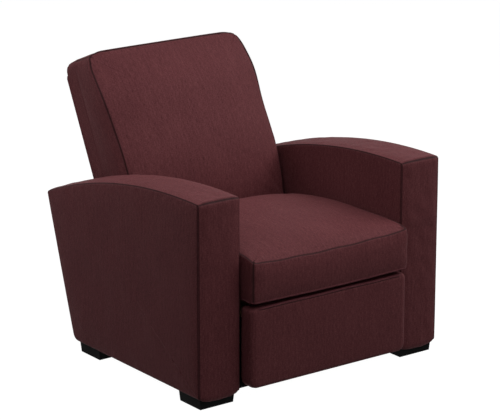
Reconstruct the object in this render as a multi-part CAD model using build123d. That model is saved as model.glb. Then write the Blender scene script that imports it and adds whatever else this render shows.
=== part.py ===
"""Push-back cinema recliner: two upholstered arms on block feet, and between them a seat that
glides forward on swing links, a back that reclines and a footrest on a double parallelogram.

Millimetres, +Z up, the chair faces -Y, left is -X.  While the pieces are made, y = 0 is the
plane of the arms' fronts; the finished chair is moved along Y so that its box is centred."""
import os
from math import atan2, cos, degrees, hypot, radians, sin, sqrt

from build123d import *

os.makedirs("parts", exist_ok=True)

# ---------------------------------------------------------------- whole chair
overall_width = 880.0
arm_width = 146.0
arm_bottom = 34.0
half_width = overall_width / 2
arm_inner = half_width - arm_width          # inner face of an arm
touch_gap = 0.3                             # soft pieces lie this far from what carries them
past = 1.0                                  # a cutting solid runs this far past what it cuts

# ---------------------------------------------------------------- arms
arm_crest_y = 75.0                          # the arched top is highest here
arm_top = 611.0
arm_top_radius = 1900.0
arm_rear_top_y = 787.0                      # rear edge, raked: a straight line through
arm_rear_top_z = 470.0                      # these two points
arm_rear_low_y = 657.0
arm_rear_low_z = 51.0
arm_rear_corner = 30.0
arm_round = 9.0                             # rounding of the padded edges
front_pad = 15.0
front_pad_drop = 8.0                        # the front panel hangs below the arm's underside
front_pad_round = 7.0
top_pad = 25.0
rear_pad = 8.0
outer_pad = 8.0
inner_pad = 6.0
inner_board = 12.0
arm_rail = 40.0
arm_post = 45.0

# ---------------------------------------------------------------- feet and cross rails
foot_width = 121.0
foot_depth = 105.0
foot_inset_side = 10.7
foot_inset_front = 9.7
rear_foot_y = 528.0
foot_draft = 3.0
front_rail_y = 300.0
rear_rail_y = 575.0
cross_rail_thick = 30.0
cross_rail_bottom = 44.0
front_cross_height = 34.0
rear_cross_height = 90.0
rail_notch = 0.5
rail_chamfer = 2.0

# ---------------------------------------------------------------- steelwork, from outside in
plate = 4.0                                 # thickness of every plate and link
layer_gap = 2.5                             # between neighbouring link layers
swing_gap = 1.5                             # between a swing link and its plates
rivet = 8.0
swing_rivet = 10.0
rivet_fit = 0.1                             # a hole is this much wider than its rivet
open_fit = 0.5                              # the same at the pivots that close a linkage
rivet_head = 1.6
rivet_head_wide = 15.0
collar_play = 0.1
head_clear = 1.9                            # footrest rivets' heads to the wooden seat rails
link_width = 20.0
swing_width = 26.0

# ---------------------------------------------------------------- swing links
swing_length = 90.0
swing_lean = 25.0                           # degrees back at rest, as far forward when open
swing_pivot_z = 110.0
front_swing_y = 150.0
rear_swing_y = 450.0
base_plate_low = 80.0
base_plate_high = 140.0
base_plate_end = 40.0                       # beyond the pivots, to the plate's ends
base_plate_corner = 18.0
base_bolts_y = (225.0, 300.0, 375.0)
bolt = 8.0
bolt_head = 13.0                            # across the flats
bolt_head_thick = 5.3
torque_tube_up = 28.0                       # from the lower pivot, along the link
torque_tube = 20.0
torque_tube_wall = 2.0

# ---------------------------------------------------------------- seat frame and cushion
cushion_gap = 7.3                           # cushion to arm, each side
cushion_front = -48.0
cushion_rear = 529.0
cushion_bottom = 299.5
cushion_seam = 419.0                        # top front seam
cushion_crest = 462.0
cushion_rear_seam = 414.0
cushion_side_seam = 433.0
cushion_corner = 24.0
cushion_draw = 5.0                          # how far the sides pull in between the corners
cushion_stations = (0.0, 0.12, 0.5, 0.88, 1.0)      # cross sections, front to rear
cushion_rise = (0.0, 0.55, 1.0, 0.6, 0.0)           # and how far each swells to the crest
seat_rail_low = 235.0
spring_wire = 4.0
flange = 3.0
seat_rail_wide = 34.0
seat_rail_front = 16.0
seat_rail_rear = 500.0
seat_cross_thick = 28.0
seat_plate_front = 36.0
seat_plate_nose = 48.0                      # height of the plate's front edge
seat_plate_under = 24.0                     # plate below the swing links' upper pivots
seat_plate_beyond = 36.0                    # and past them, to its lower corners
seat_plate_corner = 12.0
ear_neck = (20.0, -24.0)                    # from the recline pivot to the ear's rear corner
flange_inset = 8.0
spring_rows = 4
spring_bends = 8
spring_clear = 41.0                         # outer springs to the side rails
spring_swing = 46.0                         # width of the zigzag
spring_run = 0.9                            # part of a pitch between a bend's two corners
spring_seat = 14.0                          # how far a spring's end lies on its rail

# ---------------------------------------------------------------- footrest linkage
long_pivot = (58.0, cushion_bottom - 29.5)  # long link on the seat plate, under the cushion
long_length = 180.0
long_angle = -54.0                          # at rest, degrees above level, in the Y-Z plane
pivot_step = (48.0, -12.0)                  # long link's pivots to the lower link's
tail_step = (9.0, -39.0)                    # from the cross pivot down to the end link's pivot
footrest_pivot = (28.5, 220.0)              # cross link on the footrest bracket

# ---------------------------------------------------------------- footrest panel
panel_gap = 8.0                             # panel to arm, each side
panel_front = -41.0
panel_rear = 9.0
panel_low = 44.0
panel_top = 284.5
panel_edge = 22.0                           # rounding of the upright edges
panel_corner = 28.0                         # rounding of the lower corners
panel_top_roll = 12.0
panel_wrap = 10.0                           # foam beyond the board's edges
board_thick = 17.0
bracket_flange_wide = 38.0
bracket_low = 120.0
bracket_high = 256.0
bracket_reach = 15.0                        # plate beyond the rivets' centres
bracket_lap = 12.0                          # plate above its two pivots
screw = 4.0
screw_head = 10.0
screw_head_thick = 2.0
screw_long = 14.0
screw_inset = 10.0                          # from the flange's inner edge
screw_end = 15.0                            # from the flange's ends

# ---------------------------------------------------------------- back
back_gap = 11.0                             # back to arm, each side
back_rear_y = 913.0                         # a point of the rear face
back_rear_z = 796.0
back_rake = 25.9                            # degrees from upright
back_top = 22.0                             # along the rake, from that point
back_low = -545.0
back_frame_depth = 53.0                     # rear face to the front of the frame
back_panel = 8.0
back_boxing = 6.0
back_top_roll = 34.0
back_front_corner = 30.0                    # rounding of the top corners, from the front
back_rear_corner = 40.0                     # rounding of the top rear edge, from the side
back_seam = ((-545.0, 152.0), (-460.0, 174.0), (-369.0, 186.0), (-160.0, 154.0), (22.0, 136.0))
back_crown = (8.0, 24.0, 32.0, 30.0, 6.0)
post_wide = 36.0
post_low = -618.0
back_rail_tall = 60.0
webbing = 2.0
webbing_wide = 50.0
webbing_rows = 5
panel_hang = -665.0                         # the rear panel's lower edge
recline_pivot = (565.0, 320.0)
bracket_clear = 3.0                         # back bracket to the cushion's underside
bracket_margin = 4.0                        # back bracket inside the post's faces
bracket_up_post = 45.0                      # how far the bracket runs up its post
ear_radius = 22.0
ear_flat = 8.0                              # half of the straight on each of its corners
webbing_inset = 12.0                        # the straps' ends inside the posts' outer faces

# ---------------------------------------------------------------- return springs
return_spring_x = 120.0
return_spring_wide = 16.0
hook_wire = 3.0
hook_up = 20.0                              # from the front rail's underside
coil_share = 0.62                           # part of the spring's length that is coiled

# ---------------------------------------------------------------- worked out from the above
frame_in = arm_inner + inner_pad                    # inner board, inner face
post_in = frame_in + inner_board
post_out = half_width - outer_pad
base_plate_x = arm_inner - plate                    # inner face of the base plate
swing_x = base_plate_x - swing_gap - plate
seat_plate_x = swing_x - swing_gap - plate
layer_a = seat_plate_x - layer_gap - plate          # long and lower links
layer_b = layer_a - layer_gap - plate               # cross and end links
layer_c = layer_b - layer_gap - plate               # footrest bracket
seat_rail_out = layer_c - rivet_head - head_clear
seat_rail_in = seat_rail_out - seat_rail_wide
seat_rail_top = cushion_bottom - touch_gap - spring_wire - touch_gap
flange_top = seat_rail_top + flange
cushion_half = arm_inner - cushion_gap
panel_half = arm_inner - panel_gap
back_half = arm_inner - back_gap
post_outer = layer_a
spring_pitch = 2 * (seat_rail_in - spring_clear - (spring_swing + spring_wire) / 2) / (
    spring_rows - 1)
swing_step = (swing_length * sin(radians(swing_lean)), swing_length * cos(radians(swing_lean)))


def add(point, step):
    """A point of the Y-Z plane moved by a step."""
    return (point[0] + step[0], point[1] + step[1])


cross_pivot = add(long_pivot, (long_length * cos(radians(long_angle)),
                               long_length * sin(radians(long_angle))))
lower_pivot = add(long_pivot, pivot_step)
heel_pivot = add(cross_pivot, pivot_step)
tail_pivot = add(cross_pivot, tail_step)
end_pivot = add(footrest_pivot, tail_step)
rear_low = (rear_swing_y, swing_pivot_z)
front_low = (front_swing_y, swing_pivot_z)
rear_high = add(rear_low, swing_step)
front_high = add(front_low, swing_step)

pieces = {}


# ---------------------------------------------------------------- helpers
def side_extrude(face, x0, x1):
    """Push a face drawn in Y and Z through the chair from x0 to x1."""
    return extrude(Plane.YZ.offset(x0) * face, x1 - x0)


def outline(points):
    """A closed face through the points."""
    return make_face(Polyline(*points, close=True))


def block(x0, x1, y0, y1, z0, z1):
    """A box between three pairs of bounds."""
    return Pos((x0 + x1) / 2, (y0 + y1) / 2, (z0 + z1) / 2) * Box(x1 - x0, y1 - y0, z1 - z0)


def cylinder_x(point, diameter, x0, x1):
    """A round bar along X through a point of the Y-Z plane."""
    bar = Rot(0, 90, 0) * Cylinder(diameter / 2, abs(x1 - x0))
    return Pos((x0 + x1) / 2, point[0], point[1]) * bar


def both_sides(name, right):
    """Keep a right-hand piece and its mirror image."""
    pieces["right_" + name] = right
    if isinstance(right, Compound) and len(right.solids()) > 1:
        pieces["left_" + name] = Compound([mirror(one, about=Plane.YZ)
                                           for one in right.solids()])
    else:
        pieces["left_" + name] = mirror(right, about=Plane.YZ)


def bar(points, width):
    """Face of a flat link: round-ended strips from each pivot to the next."""
    face = None
    for (y0, z0), (y1, z1) in zip(points, points[1:]):
        strip = SlotCenterToCenter(hypot(y1 - y0, z1 - z0), width)
        turned = Rot(0, 0, degrees(atan2(z1 - z0, y1 - y0))) * strip
        placed = Pos((y0 + y1) / 2, (z0 + z1) / 2) * turned
        face = placed if face is None else face + placed
    return face


def drill(solid, point, diameter, x0, x1):
    """Bore a hole along X."""
    return solid - cylinder_x(point, diameter, x0 - past, x1 + past)


def stud(point, diameter, root, head_start, outward, collar):
    """Shouldered rivet set in a plate: shank from root to head_start, a collar that keeps the
    next plate off, and a flat head beyond it.  outward is the way it points along X."""
    tip = head_start + outward * rivet_head
    shank = cylinder_x(point, diameter, root, head_start)
    head = cylinder_x(point, rivet_head_wide + diameter - rivet, head_start, tip)
    ring = cylinder_x(point, rivet_head_wide + diameter - rivet, root,
                      root + outward * (collar - collar_play))
    return shank + head + ring


# ---------------------------------------------------------------- arms
def arch(y, inset):
    """Height of the arm's arched top, lowered by inset."""
    radius = arm_top_radius - inset
    return arm_top - arm_top_radius + sqrt(radius**2 - (y - arm_crest_y)**2)


def rear_edge(z, inset):
    """Y of the arm's raked rear edge at height z, moved inwards by inset."""
    slope = (arm_rear_top_y - arm_rear_low_y) / (arm_rear_top_z - arm_rear_low_z)
    return arm_rear_low_y + slope * (z - arm_rear_low_z) - inset * hypot(1, slope)


def arch_end(top, rear):
    """Where the lowered arch meets the moved rear edge, by a few fixed-point steps."""
    z = arm_rear_top_z
    for _ in range(30):
        z = arch(rear_edge(z, rear), top)
    return (rear_edge(z, rear), z)


def arm_face(front, top, rear, low=0.0, corner=0.0):
    """Side outline of an arm, drawn in from its front, top, rear and bottom."""
    z0 = arm_bottom + low
    end = arch_end(top, rear)
    middle = (front + end[0]) / 2
    start = (front, arch(front, top))
    foot = (rear_edge(z0, rear), z0)
    edges = [Line((front, z0), start),
             ThreePointArc(start, (middle, arch(middle, top)), end),
             Line(end, foot),
             Line(foot, (front, z0))]
    face = make_face(edges)
    if corner:
        face = fillet(face.vertices().sort_by_distance((foot[0], foot[1], 0))[0], corner)
    return face


def make_arm():
    """Frame, pads and feet of the right arm; the left one mirrors them."""
    corner = arm_rear_corner - rear_pad
    shells = [arm_face(front_pad, top_pad, rear_pad, 0, corner),
              arm_face(front_pad, top_pad + arm_rail, rear_pad, 0, corner),
              arm_face(front_pad + arm_post, top_pad + arm_rail, rear_pad, 0, corner),
              arm_face(front_pad + arm_post, top_pad + arm_rail, rear_pad + arm_post),
              arm_face(front_pad + arm_post, top_pad + arm_rail, rear_pad + arm_post, arm_rail)]
    rails = [side_extrude(a - b, post_in, post_out) for a, b in zip(shells, shells[1:])]
    board = side_extrude(shells[0], frame_in, post_in)
    lining = side_extrude(shells[0], arm_inner, frame_in)
    for y in base_bolts_y:
        board = drill(board, (y, swing_pivot_z), bolt + rivet_fit, frame_in, post_in)
        lining = drill(lining, (y, swing_pivot_z), bolt + rivet_fit, arm_inner, frame_in)
    for y0, height in ((front_rail_y, front_cross_height), (rear_rail_y, rear_cross_height)):
        lining -= block(arm_inner - past, frame_in + past, y0 - rail_notch,
                        y0 + cross_rail_thick + rail_notch, arm_bottom - past,
                        cross_rail_bottom + height + rail_notch)
    both_sides("arm_frame", Compound([board] + rails))
    both_sides("arm_inner_pad", lining)
    both_sides("arm_outer_pad", side_extrude(shells[0], post_out, half_width))

    under = arm_face(-past, top_pad, -2 * arm_rear_corner)
    band = side_extrude(arm_face(0, 0, 0) - under, arm_inner, half_width)
    long_edges = band.edges().filter_by(GeomType.CIRCLE).sort_by(Axis.Z)[-2:]
    front_edge = band.edges().filter_by(Axis.X).sort_by(Axis.Y)[:2].sort_by(Axis.Z)[-1:]
    band = fillet(long_edges + front_edge, arm_round)
    both_sides("arm_top_pad", band)

    face_pad = block(arm_inner, half_width, 0, front_pad, arm_bottom, arch(0, top_pad))
    face_pad += block(arm_inner, half_width, 0, foot_inset_front - touch_gap,
                      arm_bottom - front_pad_drop, arm_bottom)
    upright = face_pad.edges().filter_by(Axis.Z).sort_by(Axis.Y)[:2]
    lower = face_pad.edges().filter_by(Axis.X).sort_by(Axis.Z)[:2].sort_by(Axis.Y)[:1]
    both_sides("arm_front_pad", fillet(upright + lower, front_pad_round))

    rear = arm_face(front_pad, top_pad, 0, 0, arm_rear_corner) - shells[0]
    both_sides("arm_rear_pad", side_extrude(rear, arm_inner, half_width))


def make_feet():
    """Four blocks that taper a little towards the floor."""
    for place, y0 in (("front", foot_inset_front), ("rear", rear_foot_y)):
        x_mid = half_width - foot_inset_side - foot_width / 2
        y_mid = y0 + foot_depth / 2
        top = Pos(x_mid, y_mid, arm_bottom) * Rectangle(foot_width, foot_depth)
        foot = Pos(x_mid, y_mid, 0) * Rectangle(foot_width - 2 * foot_draft,
                                                foot_depth - 2 * foot_draft)
        both_sides(place + "_foot", loft([foot, top]))


# ---------------------------------------------------------------- base between the arms
def make_base():
    """Cross rails, the mechanism's base plates with their lower rivets, and bolts."""
    for name, y0, height in (("front", front_rail_y, front_cross_height),
                             ("rear", rear_rail_y, rear_cross_height)):
        rail = block(-frame_in, frame_in, y0, y0 + cross_rail_thick,
                     cross_rail_bottom, cross_rail_bottom + height)
        pieces[name + "_cross_rail"] = chamfer(rail.edges().filter_by(Axis.X),
                                                 rail_chamfer)

    face = outline([(front_swing_y - base_plate_end, base_plate_low),
                    (rear_swing_y + base_plate_end, base_plate_low),
                    (rear_swing_y + base_plate_end, base_plate_high),
                    (front_swing_y - base_plate_end, base_plate_high)])
    base = side_extrude(fillet(face.vertices(), base_plate_corner), base_plate_x, arm_inner)
    bolts = []
    for y in base_bolts_y:
        place = (y, swing_pivot_z)
        base = drill(base, place, bolt + rivet_fit, base_plate_x, arm_inner)
        shank = cylinder_x(place, bolt, base_plate_x, post_in)
        hexagon = Pos(*place) * RegularPolygon(bolt_head / 2, 6, major_radius=False)
        head = side_extrude(hexagon, base_plate_x - bolt_head_thick, base_plate_x)
        bolts.append(shank + head)
    for place in (rear_low, front_low):
        base += stud(place, swing_rivet, base_plate_x, swing_x, -1, swing_gap)
    both_sides("base_plate", base)
    mirrored = [mirror(one, about=Plane.YZ) for one in bolts]
    pieces["base_bolts"] = Compound(bolts + mirrored)


def make_swing_links():
    """Two links a side carry the seat; a tube ties the rear pair together."""
    for name, low, high in (("rear", rear_low, rear_high), ("front", front_low, front_high)):
        link = side_extrude(bar([low, high], swing_width), swing_x, swing_x + plate)
        for place in (low, high):
            link = drill(link, place, swing_rivet + rivet_fit, swing_x, swing_x + plate)
        both_sides(name + "_swing_link", link)
    share = torque_tube_up / swing_length
    centre = add(rear_low, (swing_step[0] * share, swing_step[1] * share))
    tube = cylinder_x(centre, torque_tube, -swing_x, swing_x)
    hollow = cylinder_x(centre, torque_tube - 2 * torque_tube_wall, -swing_x - past,
                        swing_x + past)
    pieces["torque_tube"] = tube - hollow
    return centre


# ---------------------------------------------------------------- seat
def make_seat_frame():
    """Side plates with every rivet that the seat carries, wooden rails and zigzag springs."""
    low = rear_high[1] - seat_plate_under
    face = outline([(seat_plate_front, flange_top),
                    (seat_plate_front, flange_top - seat_plate_nose),
                    (front_high[0] - seat_plate_beyond, low),
                    (rear_high[0] + seat_plate_beyond, low), add(recline_pivot, ear_neck),
                    add(recline_pivot, (ear_radius, 0)),
                    add(recline_pivot, (ear_radius, ear_radius)),
                    add(recline_pivot, (-ear_radius, ear_radius)),
                    (seat_rail_rear + ear_radius, flange_top)])
    rounded = [v for v in face.vertices() if v.Y > flange_top + past or v.Y < low + past]
    side = side_extrude(fillet(rounded, seat_plate_corner), seat_plate_x, seat_plate_x + plate)
    side += block(seat_rail_in, seat_plate_x + plate / 2, seat_plate_front + flange_inset,
                  seat_rail_rear, seat_rail_top, flange_top)
    for place in (rear_high, front_high):
        side += stud(place, swing_rivet, seat_plate_x + plate, swing_x + plate, 1, swing_gap)
    for place in (long_pivot, lower_pivot):
        side += stud(place, rivet, seat_plate_x, layer_a, -1, layer_gap)
    side += stud(recline_pivot, swing_rivet, seat_plate_x, layer_a, -1, layer_gap)
    both_sides("seat_plate", side)

    both_sides("seat_rail", block(seat_rail_in, seat_rail_out, seat_rail_front, seat_rail_rear,
                                  seat_rail_low, seat_rail_top))
    for name, y0 in (("front", seat_rail_front), ("rear", seat_rail_rear - seat_cross_thick)):
        pieces["seat_" + name + "_rail"] = block(-seat_rail_in, seat_rail_in, y0,
                                                 y0 + seat_cross_thick,
                                                 seat_rail_low, seat_rail_top)


def make_seat_springs():
    """Zigzag springs from the front rail to the rear one, all of one bend pattern."""
    z = cushion_bottom - touch_gap - spring_wire / 2
    start = seat_rail_front + seat_cross_thick - spring_seat
    end = seat_rail_rear - seat_cross_thick + spring_seat
    step = (end - start) / (spring_bends + 1)
    first = -spring_pitch * (spring_rows - 1) / 2
    wires = []
    for row in range(spring_rows):
        x_mid = first + row * spring_pitch
        points = [(x_mid, start, z)]
        for bend in range(spring_bends):
            side = spring_swing / 2 * (-1) ** bend
            y = start + step * (bend + 0.5)
            points += [(x_mid + side, y, z), (x_mid + side, y + step * spring_run, z)]
        points.append((x_mid, end, z))
        path = Polyline(*points)
        section = Plane(origin=path @ 0, x_dir=(0, 0, 1), z_dir=path % 0)
        wires.append(sweep(section * Rectangle(spring_wire, spring_wire), path=path,
                           transition=Transition.RIGHT))
    pieces["seat_springs"] = Compound(wires)


def make_seat_cushion():
    """Boxed cushion: crowned cross sections lofted from front to rear, then trimmed by a plan
    with rounded corners and drawn-in sides."""
    depth = cushion_rear - cushion_front
    sections = []
    for share, rise in zip(cushion_stations, cushion_rise):
        ends = cushion_seam + (cushion_rear_seam - cushion_seam) * share
        edge = ends + (cushion_side_seam - ends) * rise
        crest = max(ends + (cushion_crest - ends) * rise, edge + past)
        wire = [ThreePointArc((-cushion_half, edge), (0, crest), (cushion_half, edge)),
                Line((cushion_half, edge), (cushion_half, cushion_bottom)),
                Line((cushion_half, cushion_bottom), (-cushion_half, cushion_bottom)),
                Line((-cushion_half, cushion_bottom), (-cushion_half, edge))]
        plane = Plane(origin=(0, cushion_front + depth * share, 0), x_dir=(1, 0, 0),
                      z_dir=(0, -1, 0))
        sections.append(plane * make_face(wire))
    mid_y = cushion_front + depth / 2
    corners = [(-cushion_half, cushion_front), (cushion_half, cushion_front),
               (cushion_half, cushion_rear), (-cushion_half, cushion_rear)]
    plan = make_face([
        Line(corners[0], corners[1]),
        ThreePointArc(corners[1], (cushion_half - cushion_draw, mid_y), corners[2]),
        ThreePointArc(corners[2], (0, cushion_rear - cushion_draw), corners[3]),
        ThreePointArc(corners[3], (cushion_draw - cushion_half, mid_y), corners[0])])
    plan = fillet(plan.vertices(), cushion_corner)
    tall = cushion_crest - cushion_bottom
    trim = extrude(Pos(0, 0, cushion_bottom - past) * plan, 2 * tall)
    pieces["seat_cushion"] = loft(sections) & trim


# ---------------------------------------------------------------- footrest
def make_footrest_links():
    """Four flat links a side make two parallelograms, so the footrest turns with the long
    link while the cross and end links stay level."""
    long_link = side_extrude(bar([long_pivot, cross_pivot, tail_pivot], link_width),
                             layer_a, layer_a + plate)
    long_link = drill(long_link, long_pivot, rivet + rivet_fit, layer_a, layer_a + plate)
    for place in (cross_pivot, tail_pivot):
        long_link += stud(place, rivet, layer_a, layer_b, -1, layer_gap)
    both_sides("long_link", long_link)

    lower_link = side_extrude(bar([lower_pivot, heel_pivot], link_width), layer_a,
                              layer_a + plate)
    lower_link = drill(lower_link, lower_pivot, rivet + rivet_fit, layer_a, layer_a + plate)
    both_sides("lower_link", drill(lower_link, heel_pivot, rivet + open_fit, layer_a,
                                   layer_a + plate))

    cross_link = side_extrude(bar([heel_pivot, cross_pivot, footrest_pivot], link_width),
                              layer_b, layer_b + plate)
    cross_link = drill(cross_link, cross_pivot, rivet + rivet_fit, layer_b, layer_b + plate)
    cross_link += stud(heel_pivot, rivet, layer_b + plate, layer_a + plate, 1, layer_gap)
    cross_link += stud(footrest_pivot, rivet, layer_b, layer_c, -1, layer_gap)
    both_sides("cross_link", cross_link)

    end_link = side_extrude(bar([tail_pivot, end_pivot], link_width), layer_b, layer_b + plate)
    end_link = drill(end_link, tail_pivot, rivet + rivet_fit, layer_b, layer_b + plate)
    both_sides("end_link", drill(end_link, end_pivot, rivet + open_fit, layer_b,
                                 layer_b + plate))


def make_footrest():
    """Angle brackets, a board and the foam panel that wraps it."""
    back_y = panel_rear
    face = outline([(back_y, bracket_low), (back_y + flange, bracket_low),
                    (end_pivot[0] + bracket_reach, end_pivot[1] - bracket_lap),
                    (end_pivot[0] + bracket_reach / 2, end_pivot[1] + bracket_lap),
                    (footrest_pivot[0] + bracket_reach, footrest_pivot[1] + bracket_lap),
                    (back_y + flange, bracket_high), (back_y, bracket_high)])
    bracket = side_extrude(face, layer_c, layer_c + plate)
    bracket += block(layer_c + plate - bracket_flange_wide, layer_c + plate, back_y,
                     back_y + flange, bracket_low, bracket_high)
    bracket = drill(bracket, footrest_pivot, rivet + rivet_fit, layer_c, layer_c + plate)
    bracket += stud(end_pivot, rivet, layer_c + plate, layer_b + plate, 1, layer_gap)
    screws = []
    screw_x = layer_c + plate - bracket_flange_wide + screw_inset
    screw_heights = (bracket_low + screw_end, bracket_high - screw_end)

    def along_y(x, z, diameter, y0, y1):
        rod = Rot(90, 0, 0) * Cylinder(diameter / 2, y1 - y0)
        return Pos(x, (y0 + y1) / 2, z) * rod

    def screw_hexagon(x, z, y0, y1):
        face = Plane.XZ.offset(-y0) * Pos(x, z) * RegularPolygon(screw_head / 2, 6)
        return extrude(face, y0 - y1)

    outer = back_y + flange
    for z in screw_heights:
        screws.append(screw_hexagon(screw_x, z, outer, outer + screw_head_thick)
                      + along_y(screw_x, z, screw, outer - screw_long, outer + past))
        bracket -= along_y(screw_x, z, screw + rivet_fit, back_y - past, outer + past)
    both_sides("footrest_bracket", bracket)
    mirrored = [mirror(one, about=Plane.YZ) for one in screws]
    pieces["footrest_screws"] = Compound(screws + mirrored)

    board = block(panel_wrap - panel_half, panel_half - panel_wrap, back_y - board_thick, back_y,
                  panel_low + panel_wrap, panel_top - panel_wrap)
    for x in (screw_x, -screw_x):
        for z in screw_heights:
            board -= along_y(x, z, screw + rivet_fit, back_y - 2 * board_thick, back_y + past)
    pieces["footrest_board"] = board

    pad = block(-panel_half, panel_half, panel_front, back_y, panel_low, panel_top)
    pad = fillet(pad.edges().filter_by(Axis.Y).sort_by(Axis.Z)[:2], panel_corner)
    front_edges = pad.edges().filter_by(Axis.Z).sort_by(Axis.Y)[:2]
    pad = fillet(front_edges, panel_edge)
    top_edge = pad.edges().filter_by(Axis.X).sort_by(Axis.Z)[-2:].sort_by(Axis.Y)[:1]
    pad = fillet(top_edge, panel_top_roll)
    pocket = block(panel_wrap - panel_half - touch_gap, panel_half - panel_wrap + touch_gap,
                   back_y - board_thick - touch_gap, back_y + past,
                   panel_low + panel_wrap - touch_gap, panel_top - panel_wrap + touch_gap)
    pieces["footrest_pad"] = pad - pocket


# ---------------------------------------------------------------- back
def back_point(depth, height):
    """Y and Z of a point that lies depth in front of the back's rear face and height up it."""
    lean = radians(back_rake)
    return (back_rear_y - depth * cos(lean) + height * sin(lean),
            back_rear_z + depth * sin(lean) + height * cos(lean))


def back_place(point):
    """Depth and height on the back of a point given by Y and Z."""
    lean = radians(back_rake)
    dy = point[0] - back_rear_y
    dz = point[1] - back_rear_z
    return (dz * sin(lean) - dy * cos(lean), dy * sin(lean) + dz * cos(lean))


def back_plate(corners, x0, x1):
    """A piece whose side view is given by depths and heights of the back."""
    return side_extrude(outline([back_point(*corner) for corner in corners]), x0, x1)


def front_outline():
    """The back seen along its depth: straight sides and rounded top corners."""
    deepest = max(depth for _, depth in back_seam) + max(back_crown)
    plane = Plane(origin=(0, *back_point(deepest, 0)), x_dir=(1, 0, 0),
                  z_dir=(0, cos(radians(back_rake)), -sin(radians(back_rake))))
    low = panel_hang - past
    face = make_face(Polyline((-back_half, -back_top), (back_half, -back_top),
                              (back_half, -low), (-back_half, -low), close=True))
    tops = [v for v in face.vertices() if abs(v.Y + back_top) < past]
    return extrude(plane * fillet(tops, back_front_corner), deepest + past)


def make_back_frame():
    """Two posts, two rails, webbing and the brackets that hang the back on its pivots."""
    shape = [(back_panel, post_low), (back_frame_depth, post_low),
             (back_frame_depth, back_top - back_top_roll), (back_panel, back_top - back_top_roll)]
    both_sides("back_post", back_plate(shape, post_outer - post_wide, post_outer))
    rail_half = post_outer - post_wide
    for name, top in (("top", back_top - back_top_roll), ("bottom", back_low + back_rail_tall)):
        low = top - back_rail_tall
        shape = [(back_panel, low), (back_frame_depth, low), (back_frame_depth, top),
                 (back_panel, top)]
        pieces["back_" + name + "_rail"] = back_plate(shape, -rail_half, rail_half)

    span = back_top - back_top_roll - back_low - 2 * back_rail_tall
    pitch = span / webbing_rows
    straps = []
    for row in range(webbing_rows):
        low = back_low + back_rail_tall + pitch * (row + 0.5) - webbing_wide / 2
        shape = [(back_frame_depth, low), (back_frame_depth + webbing, low),
                 (back_frame_depth + webbing, low + webbing_wide),
                 (back_frame_depth, low + webbing_wide)]
        straps.append(back_plate(shape, webbing_inset - post_outer, post_outer - webbing_inset))
    pieces["back_webbing"] = Compound(straps)

    pivot_depth, pivot_height = back_place(recline_pivot)
    over = back_low - bracket_clear
    near = back_panel + bracket_margin
    far = back_frame_depth - bracket_margin
    hanger = outline([back_point(pivot_depth + ear_radius, pivot_height - ear_flat),
                      back_point(pivot_depth + ear_flat, pivot_height - ear_radius),
                      back_point(near, post_low + bracket_margin),
                      back_point(near, back_low + bracket_up_post),
                      back_point(far, back_low + bracket_up_post),
                      back_point(far, over), back_point(pivot_depth, over),
                      back_point(pivot_depth + ear_radius, pivot_height + ear_flat)])
    bracket = side_extrude(hanger, layer_a, layer_a + plate)
    both_sides("back_bracket", drill(bracket, recline_pivot, swing_rivet + rivet_fit,
                                     layer_a, layer_a + plate))


def make_back_upholstery(rounding):
    """The crowned cushion, the boxing round the frame and the outer panel behind it."""
    lean = radians(back_rake)
    sections = []
    inner = back_frame_depth + webbing + touch_gap
    for (height, depth), crown in zip(back_seam, back_crown):
        y, z = back_point(0, height)
        plane = Plane(origin=(0, y, z), x_dir=(1, 0, 0), z_dir=(0, sin(lean), cos(lean)))
        wire = [Line((back_half, -depth), (back_half, -inner)),
                Line((back_half, -inner), (-back_half, -inner)),
                Line((-back_half, -inner), (-back_half, -depth)),
                ThreePointArc((-back_half, -depth), (0, -depth - crown), (back_half, -depth))]
        sections.append(plane * make_face(wire))
    pieces["back_cushion"] = loft(sections) & rounding

    def shell(near, far, low, top, half, corner):
        face = outline([back_point(near, low), back_point(far, low), back_point(far, top),
                        back_point(near, top)])
        if corner:
            y, z = back_point(near, top)
            face = fillet(face.vertices().sort_by_distance((y, z, 0))[0], corner)
        return side_extrude(face, -half, half)

    depth = back_frame_depth + webbing
    whole = shell(0, depth, back_low, back_top, back_half, back_rear_corner) & rounding
    inside = shell(-past, depth + past, back_low - past, back_top - back_top_roll,
                   back_half - back_boxing, 0)
    slab = shell(0, back_panel, back_low - past, back_top + past, back_half + past, 0)
    pieces["back_boxing"] = whole - inside - slab
    rear = shell(0, back_panel, panel_hang, back_top - back_rear_corner, back_half, 0) & rounding
    pieces["back_outer_panel"] = rear
    pieces["back_boxing"] += (whole & slab) - rear


# ---------------------------------------------------------------- return springs
def make_return_springs(tube_centre):
    """Two tension springs from the seat's front rail to the torque tube, each a closed coil
    with a straight hook at both ends."""
    rail = (seat_rail_front + seat_cross_thick, seat_rail_low + hook_up)
    slope = atan2(tube_centre[1] - rail[1], tube_centre[0] - rail[0])
    near = add(rail, (touch_gap + hook_wire / 2 * abs(sin(slope)), 0))
    run = hypot(tube_centre[0] - near[0], tube_centre[1] - near[1])
    run -= torque_tube / 2 + touch_gap
    coils = []
    for x in (-return_spring_x, return_spring_x):
        def along(diameter, length):
            piece = Rot(90 + degrees(slope), 0, 0) * Cylinder(diameter / 2, length)
            return Pos(x, near[0] + run / 2 * cos(slope), near[1] + run / 2 * sin(slope)) * piece
        coils.append(along(hook_wire, run) + along(return_spring_wide, run * coil_share))
    pieces["return_springs"] = Compound(coils)


# ---------------------------------------------------------------- the whole chair
make_arm()
make_feet()
make_base()
tube_centre = make_swing_links()
make_seat_frame()
make_seat_springs()
make_seat_cushion()
make_footrest_links()
make_footrest()
make_back_frame()
make_back_upholstery(front_outline())
make_return_springs(tube_centre)

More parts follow.
